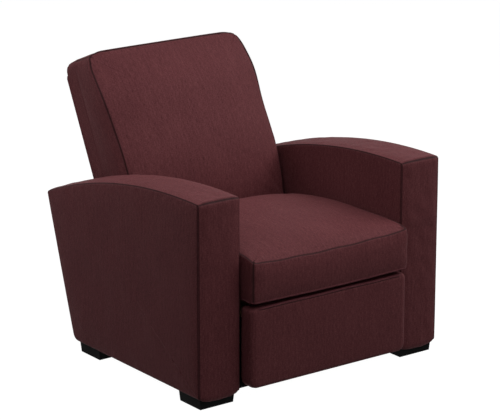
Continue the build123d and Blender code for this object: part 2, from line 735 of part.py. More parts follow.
boxes = [shape.bounding_box() for shape in pieces.values()]
front_y = min(box.min.Y for box in boxes)
rear_y = max(box.max.Y for box in boxes)
centre_shift = -(front_y + rear_y) / 2
for name, shape in pieces.items():
    export_step(Pos(0, centre_shift, 0) * shape, "parts/" + name + ".step")
print("nodes", len(pieces))
print("shift along Y", round(centre_shift, 3))
print("height", round(max(box.max.Z for box in boxes), 2), "depth", round(rear_y - front_y, 2))
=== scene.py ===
"""A push-back cinema recliner in oxblood slub cloth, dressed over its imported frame.

Read it top to bottom as a lesson: each step says what the real piece is, how it could be made
and why it is made this way here.  Everything is in metres, +Z up, and the chair faces -Y.  Left
and right, in names and in these notes, are as seen from in front of the chair."""

# %% [markdown]
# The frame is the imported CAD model. It fixes where every wooden, steel and padded piece is, and
# which body carries it, so the looks are only ever added around it. Its box is kept for the end,
# when the dressed chair is measured against it.

# %% Open the frame
import math

import bpy
import numpy as np
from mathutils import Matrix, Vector


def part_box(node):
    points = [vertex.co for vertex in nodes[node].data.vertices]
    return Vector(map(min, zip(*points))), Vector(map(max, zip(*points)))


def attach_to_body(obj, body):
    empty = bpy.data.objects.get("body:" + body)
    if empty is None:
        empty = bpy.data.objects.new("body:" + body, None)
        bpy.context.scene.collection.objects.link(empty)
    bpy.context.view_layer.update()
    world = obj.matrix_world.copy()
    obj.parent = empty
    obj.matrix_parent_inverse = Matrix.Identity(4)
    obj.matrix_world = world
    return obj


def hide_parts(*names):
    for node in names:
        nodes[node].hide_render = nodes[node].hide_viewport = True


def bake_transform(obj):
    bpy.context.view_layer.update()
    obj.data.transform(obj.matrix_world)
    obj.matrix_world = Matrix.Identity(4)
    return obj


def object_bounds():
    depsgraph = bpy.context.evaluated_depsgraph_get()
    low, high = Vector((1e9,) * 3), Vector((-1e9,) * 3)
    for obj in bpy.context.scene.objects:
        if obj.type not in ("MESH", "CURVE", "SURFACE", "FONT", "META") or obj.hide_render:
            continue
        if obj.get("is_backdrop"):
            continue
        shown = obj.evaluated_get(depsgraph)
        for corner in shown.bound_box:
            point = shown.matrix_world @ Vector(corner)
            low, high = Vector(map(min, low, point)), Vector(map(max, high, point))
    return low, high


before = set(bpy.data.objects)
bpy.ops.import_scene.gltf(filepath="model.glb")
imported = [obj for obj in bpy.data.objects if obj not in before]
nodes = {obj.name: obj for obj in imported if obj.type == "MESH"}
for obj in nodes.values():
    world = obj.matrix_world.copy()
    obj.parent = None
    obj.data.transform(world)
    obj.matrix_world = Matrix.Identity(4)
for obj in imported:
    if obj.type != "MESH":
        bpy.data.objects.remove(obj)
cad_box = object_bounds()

# %% [markdown]
# A few sizes steer all the upholstery. Most are read from the frame's own boxes. The arm's arch
# and its raked rear edge are curves, which a box can't tell, so their radius and their two end
# heights are written here as real sizes.

# %% Sizes that the covers share
ARM_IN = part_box("right_arm_inner_pad")[0].x
ARM_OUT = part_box("right_arm_outer_pad")[1].x
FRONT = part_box("right_arm_front_pad")[0].y
ARM_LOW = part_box("right_arm_outer_pad")[0].z
ARM_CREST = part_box("right_arm_top_pad")[1].z
ARCH_RADIUS = 1.9
ARCH_CREST_Y = FRONT + 0.075
REAR_TOP = (FRONT + 0.787, 0.470)
REAR_LOW = (FRONT + 0.657, 0.051)
RAKE = math.radians(25.9)
BACK_REAR = (FRONT + 0.913, 0.796)
SIDES = {1: "right", -1: "left"}
print("arm", round(ARM_OUT - ARM_IN, 4), "wide, front plane at y", round(FRONT, 4))

# %% [markdown]
# Shader maths reads best as plain arithmetic. A Wire is one socket of a material's node tree, and
# its operators add Math nodes. A Bench is one material with its Principled shader, and its node
# method makes every other node from a type, its settings and what its sockets take.


# %% A socket that does arithmetic, and a bench that makes nodes
class Wire:
    """One socket, used as a number in an expression."""

    def __init__(self, bench, socket):
        self.bench = bench
        self.socket = socket

    def _math(self, operation, first, second):
        return self.bench.node("ShaderNodeMath", {"operation": operation}, {0: first, 1: second})

    def __add__(self, other):
        return self._math("ADD", self, other)

    def __sub__(self, other):
        return self._math("SUBTRACT", self, other)

    def __rsub__(self, other):
        return self._math("SUBTRACT", other, self)

    def __mul__(self, other):
        return self._math("MULTIPLY", self, other)

    __radd__ = __add__
    __rmul__ = __mul__


class Bench:
    """One material: its tree, its Principled shader and a way to add nodes."""

    def __init__(self, name, **constants):
        self.material = bpy.data.materials.new(name)
        self.material.use_nodes = True
        self.tree = self.material.node_tree
        self.tree.nodes.clear()
        output = self.tree.nodes.new("ShaderNodeOutputMaterial")
        self.shader = self.tree.nodes.new("ShaderNodeBsdfPrincipled")
        self.tree.links.new(self.shader.outputs[0], output.inputs["Surface"])
        for key, value in constants.items():
            self.feed(self.shader.inputs[key.replace("_", " ")], value)

    def feed(self, socket, value):
        """Link a Wire to a socket, or set the socket's own value."""
        if isinstance(value, Wire):
            self.tree.links.new(value.socket, socket)
        elif socket.type == "RGBA":
            socket.default_value = (*value, 1.0)
        else:
            socket.default_value = value

    def node(self, kind, settings=None, sockets=None, output=0):
        """Make a node, set it, fill its sockets and return one of its outputs."""
        made = self.tree.nodes.new(kind)
        for key, value in (settings or {}).items():
            if key == "stops":
                ramp = made.color_ramp.elements
                for spare in range(len(value) - len(ramp)):
                    ramp.new(0.5)
                for element, (place, colour) in zip(ramp, value):
                    element.position = place
                    element.color = (*colour, 1.0)
            else:
                setattr(made, key, value)
        for key, value in (sockets or {}).items():
            self.feed(made.inputs[key], value)
        return Wire(self, made.outputs[output])

    def mix(self, factor, first, second):
        """A colour between two colours."""
        return self.node("ShaderNodeMix", {"data_type": "RGBA"},
                         {0: factor, 6: first, 7: second}, 2)

    def noise(self, where, stretch, detail=2.0, roughness=0.5):
        """Noise whose cells are 1 / stretch long on each axis."""
        spread = self.node("ShaderNodeMapping", None, {"Vector": where, "Scale": stretch})
        return self.node("ShaderNodeTexNoise", None,
                         {"Vector": spread, "Scale": 1.0, "Detail": detail,
                          "Roughness": roughness})

    def bump(self, height, distance, strength=1.0):
        """Send a height in metres to the shader's normal."""
        self.feed(self.shader.inputs["Normal"],
                  self.node("ShaderNodeBump", None, {"Height": height, "Distance": distance,
                                                     "Strength": strength}))


print("shader helpers ready")

# %% [markdown]
# The cloth is a slub weave: upright yarns that swell and thin, so that fine light and dark streaks
# run along the grain, crossed by an even, finer yarn. A photograph of cloth would do it, but a
# pattern worked out from the grain map stays sharp at any distance. The grain map is a UV map in
# metres, U across the yarns and V along them. A "seam" attribute says how deep in a seam a point
# is, and there the cloth's colour is darkened: painted shade, for the shade that falls in a seam.

# %% Cloth
OXBLOOD_DEEP = (0.064, 0.0158, 0.0184)
OXBLOOD = (0.107, 0.0282, 0.0318)
OXBLOOD_LIGHT = (0.160, 0.0505, 0.0550)
SEAM_SHADE_SHARE = 0.22


def cloth(name, deep, body, bright):
    """Slub cloth between three colours.  In a seam its colour is darkened down to SEAM_SHADE_SHARE
    of the deepest, as painted shade.
    """
    bench = Bench(name, Roughness=0.70, Sheen_Weight=0.03, Sheen_Roughness=0.45,
                  Sheen_Tint=(0.85, 0.45, 0.45), Specular_IOR_Level=0.09)
    grain = bench.node("ShaderNodeUVMap", {"uv_map": "grain"})
    streak = bench.noise(grain, (430.0, 60.0, 1.0), 3.0, 0.62)
    slub = bench.noise(grain, (150.0, 9.0, 1.0), 2.0)
    cross = bench.noise(grain, (140.0, 520.0, 1.0), 2.0)
    cloud = bench.noise(grain, (7.0, 5.0, 1.0), 2.0)
    fleck = bench.noise(grain, (260.0, 260.0, 1.0), 1.0)
    tone = streak * 0.36 + slub * 0.13 + cross * 0.28 + fleck * 0.15 + cloud * 0.08
    colour = bench.node("ShaderNodeValToRGB", {
        "stops": ((0.38, deep), (0.50, body), (0.63, bright))}, {"Fac": tone})
    # painted shade: where the seam attribute is high, the colour is darkened towards a small share
    # of the deepest colour, for the shade inside the seam
    seam = bench.node("ShaderNodeAttribute", {"attribute_name": "seam"}, output=2)
    shade = bench.mix(seam, colour, tuple(SEAM_SHADE_SHARE * part for part in deep))
    bench.feed(bench.shader.inputs["Base Color"], shade)
    yarn = bench.node("ShaderNodeTexWave", {"wave_type": "BANDS", "bands_direction": "X"},
                      {"Vector": grain, "Scale": 260.0, "Distortion": 1.2, "Detail": 1.0})
    weft = bench.node("ShaderNodeTexWave", {"wave_type": "BANDS", "bands_direction": "Y"},
                      {"Vector": grain, "Scale": 330.0, "Distortion": 1.2, "Detail": 1.0})
    bench.bump(streak * 0.9 + yarn * 0.35 + weft * 0.30, 0.0005, 0.55)
    return bench.material


upholstery = cloth("slub_cloth", OXBLOOD_DEEP, OXBLOOD, OXBLOOD_LIGHT)
# painted highlight: the piping is the same cloth, and its lighter colours stand for the light along
# its round ridge
piping_cloth_painted_highlight = cloth("piping_cloth_painted_highlight", OXBLOOD_DEEP, (0.118, 0.030, 0.037), (0.20, 0.072, 0.080))
print("cloth ready")

# %% [markdown]
# Under the cloth there is bare timber, black powder-coated steel, oiled spring wire, zinc-plated
# fasteners, woven webbing, black plastic feet and a black dust cloth. The feet and the dust cloth
# are darker than their black alone, painted shade for the shade under the chair. Each is a small
# pattern on Object coordinates: wood has long growth rings stretched along one axis, powder coat
# has an orange-peel bump, and the plastic a fine matt grain.


# %% Timber, steel, zinc, webbing, feet and dust cloth
def timber(name, grain_along):
    """Sawn softwood whose grain runs along the axis 0, 1 or 2."""
    bench = Bench(name, Roughness=0.72, Specular_IOR_Level=0.3)
    where = bench.node("ShaderNodeTexCoord", output=3)
    stretch = [38.0, 38.0, 38.0]
    stretch[grain_along] = 2.6
    fine = [420.0, 420.0, 420.0]
    fine[grain_along] = 9.0
    rings = bench.noise(where, tuple(stretch), 4.0, 0.6)
    fibre = bench.noise(where, tuple(fine), 2.0)
    colour = bench.node("ShaderNodeValToRGB", {
        "stops": ((0.30, (0.34, 0.205, 0.105)), (0.52, (0.55, 0.375, 0.215)),
                  (0.72, (0.68, 0.50, 0.31)))}, {"Fac": rings * 0.75 + fibre * 0.27})
    bench.feed(bench.shader.inputs["Base Color"], colour)
    bench.bump(fibre + rings * 0.5, 0.0004, 0.5)
    return bench.material


def metal(name, dark, light, metallic, rough, peel, shine=0.5):
    """Steel or paint with an uneven skin.  Its colour wanders between dark and light, and its
    roughness by 0.18 around rough, with the same patches."""
    bench = Bench(name, Metallic=metallic, Specular_IOR_Level=shine)
    where = bench.node("ShaderNodeTexCoord", output=3)
    patch = bench.noise(where, (24.0, 24.0, 24.0), 3.0)
    skin = bench.noise(where, (peel, peel, peel), 1.0)
    bench.feed(bench.shader.inputs["Base Color"], bench.mix(patch, dark, light))
    bench.feed(bench.shader.inputs["Roughness"], (patch - 0.5) * 0.18 + rough)
    bench.bump(skin, 0.0003, 0.35)
    return bench.material


def plain_weave(name, dark, light, pitch):
    """A coarse plain weave on Object coordinates, for webbing and dust cloth."""
    bench = Bench(name, Roughness=0.85, Specular_IOR_Level=0.2)
    where = bench.node("ShaderNodeTexCoord", output=3)
    warp = bench.node("ShaderNodeTexWave", {"bands_direction": "X"},
                      {"Vector": where, "Scale": 0.3 / pitch, "Distortion": 0.6})
    weft = bench.node("ShaderNodeTexWave", {"bands_direction": "Z"},
                      {"Vector": where, "Scale": 0.3 / pitch, "Distortion": 0.6})
    bench.feed(bench.shader.inputs["Base Color"], bench.mix(warp * weft, dark, light))
    bench.bump(warp * 0.5 + weft * 0.5, 0.0006, 0.5)
    return bench.material


wood_upright = timber("sawn_wood_upright", 2)
wood_across = timber("sawn_wood_across", 0)
wood_along = timber("sawn_wood_along", 1)
black_steel = metal("black_powder_coat", (0.016, 0.016, 0.018), (0.030, 0.030, 0.032), 0.0, 0.42,
                    900.0)
spring_wire = metal("oiled_wire", (0.16, 0.15, 0.14), (0.30, 0.29, 0.28), 1.0, 0.34, 300.0)
zinc = metal("zinc_plate", (0.46, 0.46, 0.44), (0.66, 0.65, 0.60), 1.0, 0.30, 500.0)
# painted shade: black plastic, but its colour is pushed nearly to nothing, as the feet look in the
# shade under the chair
foot_black_and_shade = metal("foot_plastic_and_shade", (0.0015, 0.0015, 0.0015), (0.003, 0.003, 0.003), 0.0, 0.8,
                   1400.0, 0.06)
webbing_cloth = plain_weave("webbing_weave", (0.02, 0.018, 0.016), (0.10, 0.088, 0.075), 0.0016)
# painted shade: dust cloth is black, and this near-black also stands for the shade under the chair
dust_cloth_and_shade = plain_weave("dust_cloth_and_shade", (0.006, 0.006, 0.006), (0.018, 0.018, 0.018), 0.0012)
print("materials", len(bpy.data.materials))

# %% [markdown]
# The frame's own solids that are right as they stand keep their mesh and only get a finish.

# %% Finish the bare pieces of the frame
FINISHES = (
    (("_arm_frame", "_post"), wood_upright),
    (("_cross_rail", "_top_rail", "_bottom_rail", "front_rail", "rear_rail", "_board"),
     wood_across),
    (("left_seat_rail", "right_seat_rail"), wood_along),
    (("_plate", "_link", "_bracket", "torque_tube"), black_steel),
    (("base_bolts", "footrest_screws"), zinc),
    (("back_webbing",), webbing_cloth),
    (("front_foot", "rear_foot"), foot_black_and_shade),
)
for node_name, node in nodes.items():
    for endings, finish in FINISHES:
        if any(part in node_name for part in endings):
            node.data.materials.clear()
            node.data.materials.append(finish)
print("bare pieces finished")

# %% [markdown]
# Every cover here is a slab: an outline, such as the arm seen from its side, with a flat or domed
# face on each side and a band between them. A cube pushed about would hide its seams in random
# places. Rings that follow the outline put each seam on a known ring, so grooves, piping and
# stitches can follow it exactly. The rings run from the middle of one face out to its rim, across
# the band and in to the middle of the other face.


# %% Outlines with rounded corners
def round_corners(corners, radii, arc_points=8):
    """Corners, some of them replaced by an arc that touches both neighbouring sides."""
    corners = [np.array(corner, float) for corner in corners]
    points = []
    for index, (corner, radius) in enumerate(zip(corners, radii)):
        if radius == 0:
            points.append(corner[None])
            continue
        before = corners[index - 1] - corner
        after = corners[(index + 1) % len(corners)] - corner
        before /= np.linalg.norm(before)
        after /= np.linalg.norm(after)
        half = math.acos(np.clip(before @ after, -1, 1)) / 2
        middle = before + after
        centre = corner + middle / np.linalg.norm(middle) * radius / math.sin(half)
        start = corner + before * radius / math.tan(half) - centre
        end = corner + after * radius / math.tan(half) - centre
        share = np.linspace(0, 1, arc_points)[:, None]
        sweep = math.pi - 2 * half
        arc = (start * np.sin((1 - share) * sweep) + end * np.sin(share * sweep)) / math.sin(sweep)
        points.append(centre + arc)
    return np.concatenate(points)


SEAM_STEPS = np.array((-0.0055, -0.003, -0.0013, 0.0, 0.0013, 0.003, 0.0055))


def outline_of(points, step, marks=()):
    """Points at an even step round a closed line, with closer ones at each mark, a place where a
    seam crosses the band.  Returns the points, their outward normals, how far along the line
    they are, the line's length, and how deep in a crossing seam each point is."""
    loop = np.vstack([points, points[:1]])
    if np.sum(loop[:-1, 0] * loop[1:, 1] - loop[1:, 0] * loop[:-1, 1]) < 0:
        loop = loop[::-1]
    run = np.concatenate([[0], np.cumsum(np.linalg.norm(np.diff(loop, axis=0), axis=1))])
    length = run[-1]

    def at(places):
        """The points that are this far along the loop, read between its corners."""
        return np.stack([np.interp(places % length, run, loop[:, axis]) for axis in (0, 1)], 1)

    dense = np.linspace(0, length, 6000, endpoint=False)
    line = at(dense)
    along = np.linspace(0, length, round(length / step), endpoint=False)
    seam_runs = [dense[np.argmin(np.linalg.norm(line - np.array(mark), axis=1))]
                 for mark in marks]
    for seam_run in seam_runs:
        away = (along - seam_run + length / 2) % length - length / 2
        along = along[np.abs(away) > SEAM_STEPS[-1] + 0.3 * step]
        along = np.concatenate([along, (seam_run + SEAM_STEPS) % length])
    along = np.sort(along)
    tangent = at(along + 0.002) - at(along - 0.002)
    tangent /= np.linalg.norm(tangent, axis=1)[:, None]
    crossing = np.zeros(len(along))
    for seam_run in seam_runs:
        away = (along - seam_run + length / 2) % length - length / 2
        crossing = np.maximum(crossing, np.exp(-(away / 0.0025) ** 2))
    return {"points": at(along), "normals": np.stack([tangent[:, 1], -tangent[:, 0]], 1),
            "along": along, "length": length, "crossing": crossing}


print("outline helpers ready")

# %% [markdown]
# The rings themselves. Each rim is a quarter circle from the band to the face, and the ring in
# its middle, SEAM_RING counted from the band, can be pulled in to make a seam, and the cloth round
# it is painted darker as the seam's shade. A face's rings shrink towards its middle, the last one
# by INNERMOST. Their places in the outline's plane and their depth through the slab are kept
# apart, so that a dome or a fold is one sum on whole arrays.

# %% Rings of a slab
RIM_ANGLES = np.radians([0, 14, 28, 38, 45, 52, 62, 76, 90])
SEAM_RING = 4
SEAM_SHADE_WIDE = 0.0021
CROSSING_DIP = 0.0018
INNERMOST = 0.985


def slab_rings(line, low, high, rims, face_rings, band_rings, puff=0.0, groove=0.0, spread=1.6):
    """Rings of a slab on an outline_of line.  low and high are the depths of its two faces at
    the rims, rims the two rims' radii, and puff how far the band stands out half way across;
    each is one number or one per point.  groove is how deep the two seams are, and spread packs
    a face's rings towards its rim.  Returns arrays with one row per ring."""
    outline, normals = line["points"], line["normals"]
    count = len(outline)
    low, high, puff, low_rim, high_rim = (
        np.broadcast_to(np.asarray(value, float), count) for value in (low, high, puff, *rims))
    middle = (outline.max(0) + outline.min(0)) / 2
    insets, depths, shrinks, shares = [], [], [], []

    def ring(inset, depth, shrink, share):
        """Add one ring: how far in and how deep its points are, how much smaller the ring is,
        and how far across the slab."""
        insets.append(np.broadcast_to(inset, count))
        depths.append(depth)
        shrinks.append(shrink)
        shares.append(share)

    dips = np.where(np.arange(len(RIM_ANGLES)) == SEAM_RING, groove, 0.0)
    fractions = np.linspace(1, 0, face_rings + 1)[:-1] ** spread
    for share in fractions:
        ring(low_rim, low, 1 - share * INNERMOST, 0.0)
    for angle, dip in zip(RIM_ANGLES[::-1], dips[::-1]):
        reach = low_rim - dip
        ring(low_rim - reach * math.cos(angle), low + low_rim - reach * math.sin(angle), 1.0, 0.0)
    for share in np.linspace(0, 1, band_rings + 2)[1:-1]:
        ring(-puff * (1 - (2 * share - 1) ** 4),
             (low + low_rim) * (1 - share) + (high - high_rim) * share, 1.0, share)
    for angle, dip in zip(RIM_ANGLES, dips):
        reach = high_rim - dip
        ring(high_rim - reach * math.cos(angle), high - high_rim + reach * math.sin(angle),
             1.0, 1.0)
    for share in fractions[::-1]:
        ring(high_rim, high, 1 - share * INNERMOST, 1.0)
    shrinks = np.array(shrinks)
    crossing = line["crossing"] * (shrinks == 1.0)[:, None]
    insets = np.array(insets) + CROSSING_DIP * crossing
    flat = outline[None] - normals[None] * insets[:, :, None]
    flat = middle + (flat - middle) * shrinks[:, None, None]
    # painted shade: the seam values darken the cloth round each seam ring and where a seam crosses
    # the band, as the shade in the seam
    seams = crossing.copy()
    low_seam = face_rings + len(RIM_ANGLES) - 1 - SEAM_RING
    if groove:
        for seam_row, radius in ((low_seam, low_rim.mean()),
                                 (len(shrinks) - 1 - low_seam, high_rim.mean())):
            reach = np.abs(RIM_ANGLES - RIM_ANGLES[SEAM_RING])[1:] * radius
            for step in range(-3, 4):
                away = reach[SEAM_RING - 1 + abs(step)]
                shade = math.exp(-((away / SEAM_SHADE_WIDE) ** 2))
                seams[seam_row + step] = np.maximum(seams[seam_row + step], shade)
    return {"flat": flat, "depth": np.array(depths), "shrink": shrinks, "share": np.array(shares),
            "middle": middle, "low_seam": low_seam, "seam": seams}


print("a rim has", len(RIM_ANGLES), "rings")

# %% [markdown]
# Padding is never quite even. Three small functions shape it on whole arrays of points: a noise
# of long waves, a share that climbs away from the sewn edges, and a push that squares a corner.


# %% Unevenness, swelling and corners
def soft_noise(a, b, seed, size):
    """Smooth unevenness between about -1 and 1: a sum of nine waves in random directions, about
    size long."""
    chance = np.random.default_rng(seed)
    total = np.zeros(np.broadcast(a, b).shape)
    for _ in range(9):
        heading = chance.uniform(0, math.pi)
        pitch = size * chance.uniform(0.6, 1.8)
        wave = (a * math.cos(heading) + b * math.sin(heading)) * 2 * math.pi / pitch
        total += np.sin(wave + chance.uniform(0, 2 * math.pi))
    return total / 4.5


def swelling(*distances, reach=0.03):
    """A share that climbs from 0 at every one of several edges to 1 well inside them:
    the product of 1 - exp(-distance / reach)."""
    share = 1.0
    for distance in distances:
        share = share * (1 - np.exp(-np.clip(distance, 0, None) / reach))
    return share


def on_face(rings, side):
    """True on the rings of one face, inside its rim: side is 0.0 for the low face and 1.0 for
    the high one."""
    return ((rings["share"] == side) & (rings["shrink"] < 1))[:, None]


def squared(across, along):
    """How far out a point is in a corner, where lines of equal reach are nearly square."""
    return (across**5 + along**5) ** 0.2


def in_corners(flat, half, edge, way, reach):
    """How far points are into two corners, across and along, in parts of reach.  The corners
    are half a width to each side and at an edge, at its high end for way 1 and low for -1."""
    across = np.clip((np.abs(flat[:, :, 0]) - half + reach) / reach, 0, None)
    along = np.clip((way * (flat[:, :, 1] - edge) + reach) / reach, 0, None)
    return across, along


def square_corners(flat, half, edge, way, reach, firmness):
    """Push the rings out into two corners, which are sewn square."""
    across, along = in_corners(flat, half, edge, way, reach)
    far = np.hypot(across, along)
    push = (far / np.maximum(squared(across, along), 1e-6) - 1) * firmness * reach
    flat[:, :, 0] += np.sign(flat[:, :, 0]) * across * push
    flat[:, :, 1] += way * along * push


print("padding helpers ready")

# %% [markdown]
# Rings become a mesh here, with the grain map and the seam attribute. The faces are quads, and a
# point closes each end. The grain of the two faces is read from the outline's plane, and the
# grain of the band from the way along and across it. The faces are turned to point outwards by
# the sign of the volume they enclose.


# %% Rings to mesh
def mesh_of(name, points, quads, quad_grain, fans, fan_grain, seam, material):
    """An object from arrays: points, faces of four and of three corners, a pair of grain
    coordinates for every corner of every face, and a seam value for every point, the painted shade
    that the cloth takes there."""
    volume = 0.0
    for table in (quads, fans):
        for corner in range(1, table.shape[1] - 1):
            cross = np.cross(points[table[:, corner]], points[table[:, corner + 1]])
            volume += np.sum(points[table[:, 0]] * cross)
    if volume < 0:
        quads, quad_grain = quads[:, ::-1], quad_grain[:, ::-1]
        fans, fan_grain = fans[:, ::-1], fan_grain[:, ::-1]
    corners = np.concatenate([quads.reshape(-1), fans.reshape(-1)])
    sizes = np.concatenate([np.full(len(quads), 4), np.full(len(fans), 3)])
    mesh = bpy.data.meshes.new(name)
    mesh.vertices.add(len(points))
    mesh.vertices.foreach_set("co", np.asarray(points, np.float32).reshape(-1))
    mesh.loops.add(len(corners))
    mesh.loops.foreach_set("vertex_index", corners.astype(np.int32))
    mesh.polygons.add(len(sizes))
    mesh.polygons.foreach_set("loop_start", (np.cumsum(sizes) - sizes).astype(np.int32))
    mesh.update(calc_edges=True)
    layer = mesh.uv_layers.new(name="grain")
    pairs = np.concatenate([quad_grain.reshape(-1, 2), fan_grain.reshape(-1, 2)])
    layer.data.foreach_set("uv", pairs.astype(np.float32).reshape(-1))
    attribute = mesh.attributes.new("seam", "FLOAT", "POINT")
    attribute.data.foreach_set("value", np.asarray(seam, np.float32))
    mesh.polygons.foreach_set("use_smooth", np.ones(len(sizes), bool))
    mesh.materials.append(material)
    piece = bpy.data.objects.new(name, mesh)
    bpy.context.scene.collection.objects.link(piece)
    return piece


print("mesh helper ready")


# %% A slab's own mesh
def ring_faces(rings, count):
    """Quads between neighbouring rings, each ring closed on itself."""
    here = np.arange(count)
    after = (here + 1) % count
    base = np.arange(rings - 1)[:, None] * count
    return np.stack([base + here, base + after, base + count + after, base + count + here], 2)


def slab_piece(name, rings, line, place, material, band_upright=False):
    """A closed cover from slab_rings.  place turns plane points and depths into the room.  A
    strip of faces takes its grain from the plane inside a seam ring, and between the two seam
    rings from the way along the band and across it; band_upright swaps those two."""
    flat, depth = rings["flat"], rings["depth"]
    along, length = line["along"], line["length"]
    total, count = depth.shape
    points = place(flat, depth).reshape(-1, 3)
    points = np.vstack([points, points[:count].mean(0), points[-count:].mean(0)])
    low_seam = rings["low_seam"]
    high_seam = total - 1 - low_seam
    along_next = np.append(along[1:], along[0] + length)
    grain = np.zeros((total - 1, count, 4, 2))
    after = np.roll(flat, -1, axis=1)
    after_depth = np.roll(depth, -1, axis=1)
    for row in range(total - 1):
        if row < low_seam or row >= high_seam:
            grain[row] = np.stack([flat[row], after[row], after[row + 1], flat[row + 1]], 1)
            continue
        across = (depth[row], after_depth[row], after_depth[row + 1], depth[row + 1])
        ways = (along, along_next, along_next, along)
        pairs = zip(ways, across) if band_upright else zip(across, ways)
        grain[row] = np.stack([np.stack(pair, 1) for pair in pairs], 1)
    here = np.arange(count)
    beside = (here + 1) % count
    last = count * (total - 1)
    fans = np.vstack([np.stack([beside, here, np.full(count, count * total)], 1),
                      np.stack([last + here, last + beside, np.full(count, count * total + 1)], 1)])
    table = np.vstack([flat.reshape(-1, 2), np.tile(rings["middle"], (2, 1))])
    seam = np.append(rings["seam"].reshape(-1), [0, 0])
    piece = mesh_of(name, points, ring_faces(total, count).reshape(-1, 4),
                    grain.reshape(-1, 4, 2), fans, table[fans], seam, material)
    piece["ring_size"] = count
    piece["low_seam"] = low_seam
    piece["high_seam"] = high_seam
    return piece


print("slab helper ready")

# %% [markdown]
# Each arm is a padded block. Its outer side is a flat panel, its top an arched strip that runs
# over to the back, and its front a panel of its own. The edges where they meet are sewn. The slab's
# outline is the arm seen from the side, and its depth runs across the arm. The front panel sags a
# little below the block, in front of the foot.


# %% The arm's outline
def arch_z(y):
    """Height of the arched top: a circle of ARCH_RADIUS through the crest."""
    return ARM_CREST - ARCH_RADIUS + np.sqrt(ARCH_RADIUS**2 - (y - ARCH_CREST_Y) ** 2)


def rear_y(z):
    """The raked rear edge: a straight line through REAR_TOP and REAR_LOW."""
    share = (z - REAR_LOW[1]) / (REAR_TOP[1] - REAR_LOW[1])
    return REAR_LOW[0] + (REAR_TOP[0] - REAR_LOW[0]) * share


# the arch and the rear edge meet where this step no longer moves
arm_rear_y = REAR_TOP[0]
for step in range(20):
    arm_rear_y = rear_y(arch_z(arm_rear_y))
arch_run = np.linspace(FRONT, arm_rear_y, 26)
arch_points = [(y, arch_z(y)) for y in arch_run]
arm_corners = [(FRONT, ARM_LOW), *arch_points, (rear_y(ARM_LOW), ARM_LOW)]
arm_radii = [0.004, 0.008, *[0.0] * (len(arch_run) - 2), 0.005, 0.026]
ARM_LINE = outline_of(round_corners(arm_corners, arm_radii), 0.0075,
                      [(FRONT, arch_z(FRONT)), (arm_rear_y, arch_z(arm_rear_y)),
                       (FRONT + 0.0075, ARM_LOW)])
# the last mark only packs points where the front panel's sag ends, so it isn't a seam
ARM_LINE["crossing"] *= ARM_LINE["points"][:, 1] > ARM_LOW + 0.1
FRONT_EDGE = (ARM_LINE["points"][:, 0] < FRONT + 0.0045) & (
    ARM_LINE["points"][:, 1] < arch_z(FRONT) - 0.004)
WELT_SHADE = 0.8
print("arm outline", len(ARM_LINE["points"]), "points,", round(ARM_LINE["length"], 3), "round")


# %% The arms
def front_sag(flat, share):
    """How far the front panel's lower end hangs down: most in the middle of its width, and
    fading up the panel and in front of the foot."""
    across = np.clip(1 - (2 * share - 1) ** 2, 0, 1)[:, None] ** 0.55
    forward = np.clip((FRONT + 0.0095 - flat[:, :, 0]) / 0.0035, 0, 1)
    low = np.clip(1 - (flat[:, :, 1] - ARM_LOW) / 0.05, 0, 1) ** 2
    return 0.0085 * across * forward * low


def make_arm(side, seed):
    """One arm's cover.  side is 1 for the right arm and -1 for the left."""
    points = ARM_LINE["points"]
    on_top = np.clip((points[:, 1] - 0.40) / 0.03, 0, 1)
    on_front = np.clip((FRONT + 0.02 - points[:, 0]) / 0.01, 0, 1)
    puff = 0.0022 + 0.0022 * on_top + 0.0012 * on_front
    rings = slab_rings(ARM_LINE, ARM_IN, ARM_OUT, (0.0075, 0.0075), face_rings=20,
                       band_rings=18, puff=puff, groove=0.0020)
    # painted shade: the cloth beside the arm's front welts is darkened as deep as WELT_SHADE, the
    # shade where the welt sinks in
    for row in (rings["low_seam"], len(rings["seam"]) - 1 - rings["low_seam"]):
        near = rings["seam"][row - 2:row + 3]
        near[:] = np.maximum(near, FRONT_EDGE * WELT_SHADE)
    flat, depth, shrink, share = (rings[key] for key in ("flat", "depth", "shrink", "share"))
    y, z = flat[:, :, 0], flat[:, :, 1]
    dome = swelling(y - FRONT, rear_y(z) - y, z - ARM_LOW, arch_z(y) - z)
    uneven = soft_noise(y, z, seed, 0.16) * 0.0010 + soft_noise(y, z, seed + 1, 0.05) * 0.00035
    outer = np.where(share == 1.0, 1.0, 0.0)[:, None]
    depth += outer * dome * (0.0065 + uneven)
    pull = np.exp(-(1 - shrink) * 22)[:, None] * (shrink < 1)[:, None]
    pucker = soft_noise(ARM_LINE["along"], 0.0, seed + 2, 0.028)
    depth += pull * outer * pucker * 0.0009
    band = ((share > 0) & (share < 1))[:, None]
    ripple = soft_noise(ARM_LINE["along"], depth * 2, seed + 3, 0.055) * 0.0007
    flat += band[:, :, None] * ARM_LINE["normals"][None] * ripple[:, :, None]
    flat[:, :, 1] -= front_sag(flat, share) * (shrink == 1.0)[:, None]

    def place(plane, across):
        """Plane points are Y and Z, and depth is how far from the chair's middle."""
        return np.stack([side * across, plane[:, :, 0], plane[:, :, 1]], 2)

    name = SIDES[side]
    cover = slab_piece(name + "_arm_cover", rings, ARM_LINE, place, upholstery)
    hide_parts(*[name + "_arm_" + part + "_pad"
                         for part in ("top", "front", "rear", "outer", "inner")])
    return cover


arm_covers = {1: make_arm(1, 11), -1: make_arm(-1, 23)}
for cover in arm_covers.values():
    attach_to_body(cover, "base")
    print(cover.name, len(cover.data.polygons), "faces")

# %% [markdown]
# The seat cushion is boxed: a crowned top, a band round it and a flat underside, sewn with a plain
# seam above and piping below. A cloth simulation swells it with air pressure, as foam and wadding
# do, so that the cover draws tight between its seams. The underside and the upper seam are held,
# and the top is led back to its written crown, so that the swelling only softens it. The back
# cushion is made in the same way.


# %% Swelling a cover with air
def coordinates(mesh):
    """The mesh's points, a row of three numbers each."""
    numbers = np.empty(len(mesh.vertices) * 3, np.float32)
    mesh.vertices.foreach_get("co", numbers)
    return numbers.reshape(-1, 3)


